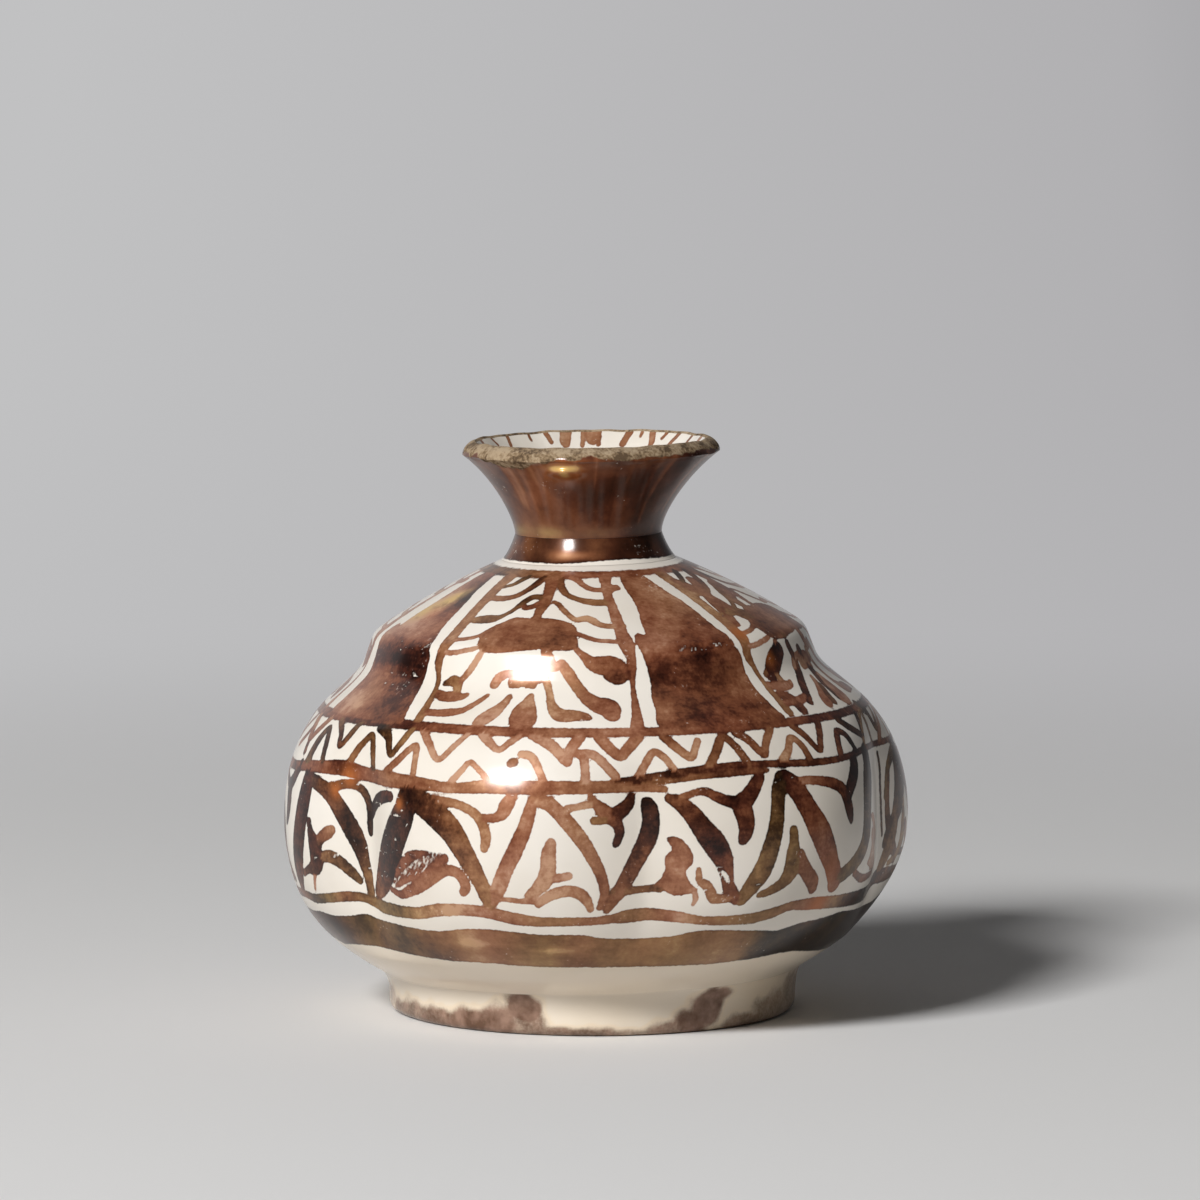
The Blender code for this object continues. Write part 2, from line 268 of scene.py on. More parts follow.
# Lustre runs from dark to pale copper with the firing and the load of the brush, and turns olive or orange.
COPPER_STOPS = [(0.0, "#200c08"), (0.25, "#4c2519"), (0.5, "#7d4831"), (0.75, "#9d694e"), (1.0, "#bd9176")]
OLIVE_STOPS = [(0.0, "#191207"), (0.25, "#40321a"), (0.5, "#705a34"), (0.75, "#957947"), (1.0, "#cfaa66")]
FLUSH_ORANGE = hex_colour("#b5652c")
FIRING_CHANGE = 0.9
BRUSH_CHANGES = (("mottle", 0.7), ("fleck", 0.4), ("streak", 0.25))
EDGE_DARK = 0.14
EDGE_WIDTH = 0.5
OLIVE_CHANGE = 0.55
blotch = -0.5 * sum(change for name, change in BRUSH_CHANGES)
for name, change in BRUSH_CHANGES:
    blotch = add_node(tree, "Math", TIMES_PLUS, [noise[name], change, blotch]).outputs[0]
shade = add_node(tree, "Math", TIMES_PLUS, [noise["firing"], FIRING_CHANGE, coat["tone"]]).outputs[0]
shade = add_node(tree, "Math", TIMES_PLUS, [blotch, coat["brushed"], shade]).outputs[0]
inward = add_node(tree, "MapRange", {}, [coat["lustre_mm"], -EDGE_WIDTH, 0.0, 0.0, EDGE_DARK]).outputs[0]
shade = add_node(tree, "Math", LESS, [shade, inward]).outputs[0]
shade = add_node(tree, "Math", LESS, [shade, 0.5 * FIRING_CHANGE]).outputs[0]
copper = add_node(tree, "ValToRGB", {"stops": COPPER_STOPS}, [shade]).outputs["Color"]
green_gold = add_node(tree, "ValToRGB", {"stops": OLIVE_STOPS}, [shade]).outputs["Color"]
olive = add_node(tree, "Math", TIMES_PLUS, [noise["olive"], OLIVE_CHANGE, coat["olive"]]).outputs[0]
olive = add_node(tree, "Math", {**LESS, "use_clamp": True}, [olive, 0.5 * OLIVE_CHANGE]).outputs[0]
copper = add_node(tree, "Mix", COLOURS, {0: olive, 6: copper, 7: green_gold}).outputs[2]
copper = add_node(tree, "Mix", COLOURS, {0: coat["flush"], 6: copper, 7: FLUSH_ORANGE}).outputs[2]

# The white is a little cloudy, creamier where it is dirty, and brown where soil has stained it.
WHITE_STOPS = [(0.3, "#ebe4da"), (0.7, "#e0d7ca")]
CREAM = "#e2cba9"
CREAM_SOIL = 0.3
CREAM_SHARE = 0.6
STAIN_STOPS = [(0.35, "#654a3a"), (0.65, "#957766")]
STAIN_GRAIN = 0.2
STAIN_FROM = 0.42
STAIN_TO = 0.9
white = add_node(tree, "ValToRGB", {"stops": WHITE_STOPS}, [noise["cloud"]]).outputs["Color"]
cream = add_node(tree, "MapRange", {}, [coat["soil"], 0.0, CREAM_SOIL, 0.0, CREAM_SHARE]).outputs[0]
white = add_node(tree, "Mix", COLOURS, {0: cream, 6: white, 7: hex_colour(CREAM)}).outputs[2]
stain = add_node(tree, "Math", TIMES_PLUS, [noise["grit"], STAIN_GRAIN, coat["soil"]]).outputs[0]
stain = add_node(tree, "MapRange", SMOOTH, [stain, STAIN_FROM, STAIN_TO, 0.0, 1.0]).outputs[0]
brown = add_node(tree, "ValToRGB", {"stops": STAIN_STOPS}, [noise["flake"]]).outputs["Color"]
white = add_node(tree, "Mix", COLOURS, {0: stain, 6: white, 7: brown}).outputs[2]
skin = add_node(tree, "Mix", COLOURS, {0: lustre, 6: white, 7: copper}).outputs[2]

# Where the glaze has flaked off, the paste under it is pitted, gritty and dull.
PASTE_STOPS = [(0.68, "#5c4b3a"), (0.8, "#877259"), (0.98, "#a8947a")]
FLAKE_REACH = 3.0
FLAKE_SOFT = 0.2
FLAKE_LINE = 0.5 * FLAKE_REACH
PIT_SHARE = 0.7
flaked = add_node(tree, "Math", TIMES_PLUS, [noise["flake"], FLAKE_REACH, coat["bare_mm"]]).outputs[0]
bare = add_node(
    tree, "MapRange", SMOOTH, [flaked, FLAKE_LINE - FLAKE_SOFT, FLAKE_LINE + FLAKE_SOFT, 1.0, 0.0]
).outputs[0]
pitted = add_node(tree, "Math", TIMES_PLUS, [noise["grit"], PIT_SHARE, noise["flake"]]).outputs[0]
paste = add_node(tree, "ValToRGB", {"stops": PASTE_STOPS}, [pitted]).outputs["Color"]
surface = add_node(tree, "Mix", COLOURS, {0: bare, 6: skin, 7: paste}).outputs[2]

# The glaze is glossy. Lustre is duller and a little metallic under a clear gloss of its own.
GLAZE_SHINE = 0.28
LUSTRE_SHINE = 0.08
LUSTRE_TINT = "#f0b878"
GLAZE_ROUGHNESS = 0.17
LUSTRE_ROUGHNESS = 0.36
PASTE_ROUGHNESS = 0.75
METAL_SHARE = 0.15
CLEAR_SHARE = 0.7
RIPPLE_HEIGHT = 0.035
GRIT_HEIGHT = 0.12
covered = add_node(tree, "Math", LESS, [1.0, bare]).outputs[0]
glazed = add_node(tree, "Math", TIMES, [lustre, covered]).outputs[0]
metal = add_node(tree, "Math", TIMES, [glazed, METAL_SHARE]).outputs[0]
clear = add_node(tree, "Math", TIMES, [glazed, CLEAR_SHARE]).outputs[0]
gloss = add_node(tree, "Mix", NUMBERS, {0: lustre, 2: GLAZE_ROUGHNESS, 3: LUSTRE_ROUGHNESS}).outputs[0]
gloss = add_node(tree, "Mix", NUMBERS, {0: bare, 2: gloss, 3: PASTE_ROUGHNESS}).outputs[0]
sheen = add_node(tree, "Mix", NUMBERS, {0: lustre, 2: GLAZE_SHINE, 3: LUSTRE_SHINE}).outputs[0]
tint = {0: lustre, 6: hex_colour("#ffffff"), 7: hex_colour(LUSTRE_TINT)}
shine = add_node(tree, "Mix", COLOURS, tint).outputs[2]
grit = add_node(tree, "Math", TIMES, [noise["grit"], bare]).outputs[0]
grit = add_node(tree, "Math", TIMES, [grit, GRIT_HEIGHT]).outputs[0]
relief = add_node(tree, "Math", TIMES_PLUS, [noise["ripple"], RIPPLE_HEIGHT, grit]).outputs[0]
bump = add_node(tree, "Bump", {}, {"Height": relief, "Distance": MM, "Strength": 1.0})
shader = tree.nodes["Principled BSDF"]
shader.inputs["IOR"].default_value = 1.5
shader.inputs["Coat Roughness"].default_value = GLAZE_ROUGHNESS
for socket, value in (
    ("Base Color", surface),
    ("Coat Weight", clear),
    ("Specular IOR Level", sheen),
    ("Specular Tint", shine),
    ("Metallic", metal),
    ("Roughness", gloss),
    ("Normal", bump.outputs["Normal"]),
):
    tree.links.new(value, shader.inputs[socket])

# Half section of the foot, from its inside top round the standing face and up to the fillet at the body.
foot_section = [
    (FOOT_RADIUS - FOOT_WALL, FOOT_TOP),
    (FOOT_RADIUS - FOOT_WALL + FOOT_TAPER, 1.2),
    (FOOT_RADIUS - FOOT_WALL + 1.0, 0.3),
    (FOOT_RADIUS - FOOT_WALL + 1.9, 0.0),
    (FOOT_RADIUS - 2.3, 0.0),
    (FOOT_RADIUS - 1.3, 0.25),
    (FOOT_RADIUS - FOOT_TAPER - 0.2, 1.0),
    (FOOT_RADIUS - FOOT_TAPER, 2.0),
    (FOOT_RADIUS - 0.45, FOOT_TOP - 4.2),
    (FOOT_RADIUS - 0.3, FOOT_TOP - 2.8),
    (FOOT_RADIUS - 0.05, FOOT_TOP - 1.6),
    (FOOT_RADIUS + 0.3, FOOT_TOP - 0.6),
    (FOOT_RADIUS + 0.65, FOOT_TOP + 0.15),
    (FOOT_RADIUS + 0.98, FOOT_TOP + 0.6),
    (FOOT_RADIUS - 2.0, FOOT_TOP + 0.7),
]
# Brown stains on the foot: middle angle and height, half sizes in mm along and up the wall, strength.
FOOT_STAINS = [
    (-80, 4, 5, 3, 0.6), (-62, 1, 13, 3.4, 0.7), (-48, 1.6, 9, 2.4, 0.75), (-36, 2, 8, 2.6, 0.8),
    (-27, 2.4, 5, 3.6, 0.8), (-19, 5.8, 3.4, 3, 1), (-17, 2.6, 3.4, 3, 0.7), (-8, 0.4, 14, 1.6, 0.7),
    (10, 0.2, 12, 1.2, 0.6), (22, 0.6, 6, 2, 0.7), (29, 2, 4, 3, 0.8), (34, 5, 3.4, 3.2, 1),
    (38, 7.2, 3, 1.2, 0.8), (48, 0.8, 8, 2, 0.65), (62, 2, 9, 4, 0.6), (76, 4, 8, 5, 0.6),
    (100, 0.5, 16, 3, 0.7), (150, 4, 9, 4, 0.7), (205, 0, 22, 2.5, 0.7), (250, 5, 6, 4, 0.7),
    (272, 0.5, 10, 2, 0.6),
]
STAIN_REACH = 1.7
WORN_EDGE = 0.3
BARE_PASTE = -1.5


def foot_coats(angle, radius, height):
    """Dirty glaze, darker to the right in part as painted shade, with ragged stains and a bare standing
    edge.
    """
    # The soil that rises towards the right, on the side away from the lamp, is partly a real stain and
    # partly painted shade.
    soil = 0.18 + 0.2 * part_way(angle, 30.0, 65.0)
    for middle, rise, half_along, half_up, strength in FOOT_STAINS:
        along = np.radians(turn_from(angle, middle)) * FOOT_RADIUS
        ragged = 1.0 + 0.1 * np.sin(0.6 * along + 0.8 * height + middle)
        ragged += 0.07 * np.sin(1.4 * along - height)
        reach = ragged * np.hypot(along / half_along, (height - rise) / half_up)
        soil = np.maximum(soil, strength * np.clip(STAIN_REACH - reach, 0.0, 1.0))
    return {"bare_mm": np.where(height < WORN_EDGE, BARE_PASTE, NO_PAINT), "soil": soil}


foot = turned_piece(
    "foot_ring", [(even_rows(foot_section, FOOT_ROW), FOOT_COLUMNS)], foot_wall, foot_coats
)
foot.data.materials.append(glaze)

# Foot slip bead
# A thread of wet clay worked by finger into the corner between foot and base, then left to dry.
# Dried slip is pale, dull and grainy, with finger marks a few millimetres long.
SLIP_STOPS = [(0.3, "#a8967f"), (0.7, "#d6c8b1")]
SLIP_SMEAR = 4.0
SLIP_SAND = 0.5
SLIP_RELIEF = 0.15
slip = bpy.data.materials.new("dried_slip")
slip.use_nodes = True
tree = slip.node_tree
place = add_node(tree, "TexCoord").outputs["Object"]
smear = add_node(tree, "TexNoise", {}, {"Vector": place, "Scale": grain(SLIP_SMEAR), "Detail": 5.0})
tint = add_node(tree, "ValToRGB", {"stops": SLIP_STOPS}, [smear.outputs["Fac"]]).outputs["Color"]
sand = add_node(tree, "TexNoise", {}, {"Vector": place, "Scale": grain(SLIP_SAND), "Detail": 4.0})
bump = add_node(
    tree, "Bump", {}, {"Height": sand.outputs["Fac"], "Distance": SLIP_RELIEF * MM, "Strength": 1.0}
)
shader = tree.nodes["Principled BSDF"]
shader.inputs["Roughness"].default_value = 0.7
tree.links.new(tint, shader.inputs["Base Color"])
tree.links.new(bump.outputs["Normal"], shader.inputs["Normal"])
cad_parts["foot_slip_bead"].data.materials.clear()
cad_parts["foot_slip_bead"].data.materials.append(slip)

# Lower body
# The lower half of the lobed belly: a stonepaste bowl thrown, then pressed with the fingers into six
# lobes while leather hard. Its painting is the wide band, the stripe and the feet of the leaf zigzag.
BASE = FOOT_TOP + 0.3
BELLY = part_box("lower_body")[1].z / MM + 0.15
NECK_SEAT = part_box("upper_body")[1].z / MM
SEAT_RADIUS = 42.2
SEAT_PULL = 4.4
BELLY_RADIUS = 63.5
BELLY_PULL_DOWN = 19.9
BELLY_PULL_UP = 24.0
NOTCH_RADIUS = 45.4
NOTCH = BELLY + 33.3
NOTCH_PULL = 7.3
RIDGE_RADIUS = 43.4
RIDGE = NOTCH + 5.2
RIDGE_ROUND = 1.5
RIDGE_ROWS = 12
SHOULDER_CROWN = 0.9
NECK_FOOT_RADIUS = 17.5
BODY_WALL = 4.0
FLOOR_WALL = 6.0
FLOOR_RINGS = (20.0, 36.0)
JOINT_STEP = 1.0
BODY_COLUMNS = 840
PAINT_ROW = 0.5
INSIDE_ROW = 3.0
# Angles of the six grooves, with the first again at the end, and their depths in mm.
GROOVES = (-51.0, 9.0, 75.0, 130.0, 190.0, 250.0, 309.0)
GROOVE_DEPTHS = np.array((6.8, 5.7, 6.2, 5.6, 5.6, 5.6))
GROOVE_SOFTNESS = 0.06
GROOVE_REACH_UP = 22.5
GROOVE_REACH_DOWN = 23.5

underside = math.radians(39)
lower_wall = cubic(
    (SEAT_RADIUS, BASE),
    (SEAT_RADIUS + SEAT_PULL * math.cos(underside), BASE + SEAT_PULL * math.sin(underside)),
    (BELLY_RADIUS, BELLY - BELLY_PULL_DOWN),
    (BELLY_RADIUS, BELLY),
)
notch_lean = math.radians(18)
belly_wall = cubic(
    (BELLY_RADIUS, BELLY),
    (BELLY_RADIUS, BELLY + BELLY_PULL_UP),
    (NOTCH_RADIUS + NOTCH_PULL * math.sin(notch_lean), NOTCH - NOTCH_PULL * math.cos(notch_lean)),
    (NOTCH_RADIUS, NOTCH),
)
ridge = np.array((RIDGE_RADIUS, RIDGE))
slope = np.array((NECK_FOOT_RADIUS, NECK_SEAT)) - ridge
crown = SHOULDER_CROWN * np.array((slope[1], -slope[0])) / np.hypot(*slope)
step = np.array((NOTCH_RADIUS, NOTCH)) - ridge
ridge_foot = ridge + RIDGE_ROUND * step / np.hypot(*step)
ridge_top = ridge + RIDGE_ROUND * (slope / 3 + crown) / np.hypot(*(slope / 3 + crown))
ridge_round = cubic(
    ridge_foot, (ridge_foot + 2 * ridge) / 3, (ridge_top + 2 * ridge) / 3, ridge_top, RIDGE_ROWS
)
shoulder_slope = cubic(
    ridge_top, ridge + slope / 3 + crown, ridge + slope * 2 / 3 + crown, (NECK_FOOT_RADIUS, NECK_SEAT)
)
body_wall = np.vstack((lower_wall, belly_wall[1:], ridge_round, shoulder_slope[1:]))


def body_radius(height):
    """Radius of the body's outside before the fingers pressed it, in mm."""
    return np.interp(height, body_wall[:, 1], body_wall[:, 0])


def groove_press(angle, height):
    """How far the fingers pressed the wall in at an angle and height, in mm."""
    turned = (angle - GROOVES[0]) % 360.0 + GROOVES[0]
    lobe = np.interp(turned, GROOVES, np.arange(len(GROOVES)))
    depth = GROOVE_DEPTHS[np.round(lobe).astype(int) % len(GROOVE_DEPTHS)]
    side = np.abs(2 * (lobe % 1.0) - 1)
    press = side**2 - 2 * GROOVE_SOFTNESS * np.exp((side - 1) / GROOVE_SOFTNESS)
    above = part_way(height, BELLY, BELLY + GROOVE_REACH_UP)
    below = part_way(height, BELLY, BELLY - GROOVE_REACH_DOWN)
    return depth * press * (1 - above**2) * (1 - below**2)


def leaning(places):
    """The same places in mm on the body as it leans on its foot."""
    across, along, height = places.T
    rise = height - FOOT_TOP
    leaned = across * math.cos(BODY_LEAN) - rise * math.sin(BODY_LEAN) + hand_shift(height)
    lifted = FOOT_TOP + across * math.sin(BODY_LEAN) + rise * math.cos(BODY_LEAN)
    return np.column_stack((leaned, along, lifted))


def lobed_wall(angle, radius, height):
    """The body's wall, pressed into lobes, uneven and leaning. Its floor is left nearly flat."""
    share = np.minimum(radius / SEAT_RADIUS, 1.0)
    pressed = radius - share * (groove_press(angle, height) - hand_wobble(angle, height))
    return leaning(turned_places(angle, pressed, height))


def wall_point(angle, height):
    """Place on the outside of the body at an angle and height, in mm."""
    return turned_places(angle, body_radius(height) - groove_press(angle, height), height)


def soft_spot(*ways):
    """A spot that is 1 at its middle and fades out, from an offset and a half size for each way."""
    return np.exp(-sum((offset / half) ** 2 for offset, half in ways))


def smooth_run(points, closed=False, spacing=0.35):
    """A smooth line through given points, whose first two values are angle and height."""
    knots = np.array(points, float)
    before = knots[-1] if closed else 2 * knots[0] - knots[1]
    after = knots[:2] if closed else [2 * knots[-1] - knots[-2]]
    knots = np.vstack(([before], knots, after))
    run = []
    for a, b, c, d in zip(knots, knots[1:], knots[2:], knots[3:]):
        ends = wall_point(np.array((b[0], c[0])), np.array((b[1], c[1])))
        steps = max(2, math.ceil(np.linalg.norm(ends[1] - ends[0]) / spacing))
        t = np.linspace(0.0, 1.0, steps, endpoint=False)[:, None]
        run.append(b + 0.5 * t * (c - a + t * (2 * a - 5 * b + 4 * c - d + t * (3 * (b - c) + d - a))))
    run.append(knots[1][None] if closed else knots[-2][None])
    return np.vstack(run)


BRUSH_SPREAD = 1.08
BRUSH_BLEED = 0.35
PAINT_REACH = 1.5
SCRATCH_REACH = 0.5
LEAST_RADIUS = 5.0
PRINT_BATCH = 64
RING_STEP = 0.5
RING_SOFT = 9


class Painting:
    """The painted coats of one piece, as one value for each vertex."""

    def __init__(self, angle, height):
        self.angle = angle
        self.height = height
        self.places = wall_point(angle, height)
        self.lustre_mm = np.full(len(angle), NO_PAINT)
        self.tone = np.full(len(angle), PLAIN_COATS["tone"])
        self.olive = np.full(len(angle), PLAIN_COATS["olive"])
        self.flush = np.zeros(len(angle))
        self.firing = np.zeros(len(angle))

    def near(self, run, reach):
        """Vertices that lie close to a run of points, and their angles counted from the run's own."""
        middle = 0.5 * (run[:, 0].min() + run[:, 0].max())
        radius = max(body_radius(run[:, 1].max()) - GROOVE_DEPTHS.max(), LEAST_RADIUS)
        half = 0.5 * np.ptp(run[:, 0]) + math.degrees(reach / radius)
        offset = turn_from(self.angle, middle)
        low, high = run[:, 1].min() - reach, run[:, 1].max() + reach
        chosen = np.flatnonzero((np.abs(offset) < half) & (self.height > low) & (self.height < high))
        return chosen, middle + offset[chosen]

    def distance(self, chosen, run, widths):
        """Distance in mm from vertices to the edge of a run of brush prints, and the share run by then."""
        best = np.full(len(chosen), NO_PAINT)
        share = np.zeros(len(chosen))
        prints = wall_point(run[:, 0], run[:, 1])
        for start in range(0, len(prints), PRINT_BATCH):
            batch = slice(start, start + PRINT_BATCH)
            gap = np.linalg.norm(self.places[chosen][:, None] - prints[batch][None], axis=2)
            gap -= 0.5 * widths[batch]
            closer = gap.min(axis=1) < best
            best[closer] = gap.min(axis=1)[closer]
            share[closer] = (start + gap.argmin(axis=1)[closer]) / len(prints)
        return best, share

    def lay(self, chosen, gap, tone, olive):
        """Lay paint on the vertices that it reaches further over than what lies there."""
        closer = gap < self.lustre_mm[chosen]
        self.lustre_mm[chosen[closer]] = gap[closer]
        self.tone[chosen[closer]] = np.broadcast_to(tone, gap.shape)[closer]
        self.olive[chosen[closer]] = np.broadcast_to(olive, gap.shape)[closer]

    def stroke(self, start_tone, end_tone, olive, points):
        """One brush stroke through points of angle, height and width."""
        run = smooth_run(points)
        chosen, _ = self.near(run, 0.5 * run[:, 2].max() + PAINT_REACH)
        if len(chosen):
            gap, share = self.distance(chosen, run, BRUSH_SPREAD * run[:, 2] + BRUSH_BLEED)
            self.lay(chosen, gap, start_tone + share * (end_tone - start_tone), olive)

    def patch(self, tone, olive, points):
        """A filled shape inside an outline of angles and heights."""
        run = smooth_run(points, closed=True)
        chosen, turned = self.near(run, PAINT_REACH)
        if not len(chosen):
            return
        gap, _ = self.distance(chosen, run, np.zeros(len(run)))
        inside = np.zeros(len(chosen), bool)
        for (turn, rise), (next_turn, next_rise) in zip(run, run[1:]):
            if rise != next_rise:
                level = (rise > self.height[chosen]) != (next_rise > self.height[chosen])
                crossing = turn + (self.height[chosen] - rise) / (next_rise - rise) * (next_turn - turn)
                inside ^= level & (turned < crossing)
        self.lay(chosen, np.where(inside, -gap, gap), tone, olive)

    def scratch(self, points):
        """A stroke of bare white scraped or worn through the paint."""
        run = smooth_run(points)
        chosen, _ = self.near(run, 0.5 * run[:, 2].max() + SCRATCH_REACH)
        if len(chosen):
            gap, _ = self.distance(chosen, run, run[:, 2])
            self.lustre_mm[chosen] = np.maximum(self.lustre_mm[chosen], -gap)

    def ring(self, edges):
        """A band right round the pot, through points of angle, lower and upper height, tone and olive."""
        turns, *columns = np.array(edges, float).T
        steps = np.arange(-180.0, 180.0, RING_STEP)
        soft = np.hanning(RING_SOFT) / np.hanning(RING_SOFT).sum()
        laid = []
        for column in columns:
            line = np.interp(steps, turns, column, period=360.0)
            line = np.convolve(np.concatenate((line[-RING_SOFT:], line, line[:RING_SOFT])), soft, "same")
            laid.append(np.interp(self.angle, steps, line[RING_SOFT:-RING_SOFT], period=360.0))
        low, high, tone, olive = laid
        everywhere = np.arange(len(self.angle))
        self.lay(everywhere, np.maximum(low - self.height, self.height - high), tone, olive)

    def rub(self, start, end, low, high, count, hand):
        """Short scratches that use has left over a part of the wall."""
        for turn, rise in zip(hand.uniform(start, end, count), hand.uniform(low, high, count)):
            wide = hand.uniform(0.1, 0.35)
            fall = hand.uniform(-0.6, 0.6)
            self.scratch([(turn, rise, wide), (turn + hand.uniform(0.3, 1.6), rise + fall, 0.6 * wide)])

    def spot(self, angle, height, size, strength):
        """A patch where the kiln flushed the lustre orange."""
        away = np.linalg.norm(self.places - wall_point(np.array((angle,)), np.array((height,))), axis=1)
        self.flush = np.maximum(self.flush, strength * soft_spot((away, size)))

    def shade(self, angle, height, along, up, change, gold=0.0):
        """A part of the wall, sized in mm, paler, darker or golden from the kiln; some entries are painted
        light.
        """
        across = np.radians(turn_from(self.angle, angle)) * body_radius(height)
        share = soft_spot((across, along), (self.height - height, up))
        # This also carries the painted highlights, painted sheen and painted reflection that some entries
        # give.
        self.firing += change * share
        self.olive += gold * share

    def coats(self):
        """The coats as the material reads them."""
        tone = np.clip(self.tone + self.firing, 0.0, 1.0)
        return {"lustre_mm": self.lustre_mm, "tone": tone, "olive": self.olive, "flush": self.flush}


# Wide band and stripe: angle from the front, lower edge, upper edge, tone, olive share.
WIDE_BAND = [
    (-74.2, 16.7, 22.6, 0.25, 0.2), (-70.2, 16, 23.1, 0.25, 0.4), (-64.3, 16.7, 22.8, 0.25, 0.5),
    (-59, 17.2, 23.3, 0.4, 0.7), (-53.8, 17.5, 24.3, 0.5, 0.8), (-50.3, 17.3, 23.4, 0.4, 0.6),
    (-42.1, 16.8, 23.1, 0.4, 0.75), (-36.5, 16.5, 22.8, 0.45, 0.5), (-31.3, 16.2, 22.8, 0.5, 0.4),
    (-26.1, 16.3, 23.7, 0.75, 0.35), (-20.9, 16.2, 24, 0.7, 0.2), (-15.8, 15.9, 23.5, 0.75, 0.4),
    (-10.6, 15.7, 22.9, 0.65, 0.65), (-2.4, 15.6, 22.8, 0.7, 0.3), (1.7, 15.5, 21.8, 0.65, 0.5),
    (9.9, 15.4, 21.5, 0.6, 0.4), (15.2, 15.2, 21.7, 0.6, 0.5), (20.4, 15.1, 22.8, 0.55, 0.55),
    (25.7, 14.9, 22.5, 0.75, 0.5), (31, 15, 22, 0.55, 0.55), (38, 15.2, 21.2, 0, 0.9),
    (43.5, 15.6, 22.3, 0, 0.9), (49.5, 15.5, 22.5, 0, 0.75), (56, 14.6, 23, 0, 0.9),
    (65, 13.6, 22.2, 0, 0.9), (74, 13.2, 21.5, 0, 0.3), (81, 13.6, 21.6, 0, 0.5),
    (88, 15, 23.3, 0.1, 0.4), (110, 16, 23.2, 0.35, 0.2), (126, 16.8, 24, 0.35, 0.2),
    (150, 15.9, 22.6, 0.35, 0.2), (175, 16.4, 23.2, 0.35, 0.2), (189, 17, 24, 0.35, 0.2),
    (215, 15.8, 22.4, 0.35, 0.2), (240, 16.3, 23, 0.35, 0.2), (251, 16.9, 24, 0.35, 0.2),
    (268, 16.2, 22.8, 0.35, 0.2),
]
STRIPE = [
    (-79.9, 25, 27, 0.5, 0.2), (-74.8, 25.2, 27, 0.5, 0.2), (-69.9, 24.6, 26.7, 0.25, 0.9),
    (-63.8, 25.5, 27.5, 0.6, 0.9), (-59.1, 26.2, 28.4, 0.7, 0.35), (-54.3, 26.7, 28.6, 0.7, 0.6),
    (-52.1, 26, 28.1, 0.65, 0.6), (-48, 24.8, 27.6, 0.45, 0.8), (-41.8, 24.7, 27.3, 0.4, 0.85),
    (-36.1, 24.9, 27.4, 0.7, 0.5), (-30.6, 26, 28.8, 0.65, 0.25), (-25.4, 26.6, 29, 0.8, 0.2),
    (-20.4, 26.3, 28.8, 0.8, 0), (-15.4, 24.9, 27.6, 0.75, 0.15), (-10.4, 24.6, 26.6, 0.85, 0.45),
    (-0.2, 24.7, 26.4, 0.7, 0.1), (2.9, 24.9, 26.8, 0.6, 0.2), (5.9, 24.8, 27.7, 0.55, 0.35),
    (10.1, 25.2, 27.8, 0.65, 0.25), (15.3, 24.7, 27, 0.75, 0), (20.4, 23.9, 25.7, 0.75, 0.4),
    (25.5, 23.5, 25.5, 0.75, 0.5), (30.5, 23.3, 25.7, 0.65, 0.7), (35.6, 24.2, 26.7, 0.7, 0.5),
    (38.4, 25.5, 27.4, 0.75, 0.3), (43.5, 24.9, 27.6, 0.55, 0.1), (50.5, 24.4, 27.1, 0.55, 0.5),
    (55, 24, 27, 0.3, 0.5), (59, 23.7, 26.9, 0.05, 0.3), (66, 23.3, 26.7, 0, 0.9),
    (73, 23.1, 26.9, 0.05, 0.3), (76, 25.6, 28.8, 0.2, 0.3), (81, 25.4, 28.6, 0.25, 0.3),
    (88, 25.6, 28.2, 0.3, 0.3), (97, 25.2, 27.8, 0.4, 0.2), (115, 25.4, 27.8, 0.5, 0.2),
    (128, 26.3, 28.5, 0.5, 0.2), (150, 24.6, 26.8, 0.5, 0.2), (175, 25.2, 27.4, 0.5, 0.2),
    (190, 26.2, 28.4, 0.5, 0.2), (215, 24.6, 26.8, 0.5, 0.2), (235, 25.3, 27.5, 0.5, 0.2),
    (252, 26.4, 28.5, 0.5, 0.2), (268, 25, 27.2, 0.5, 0.2),
]
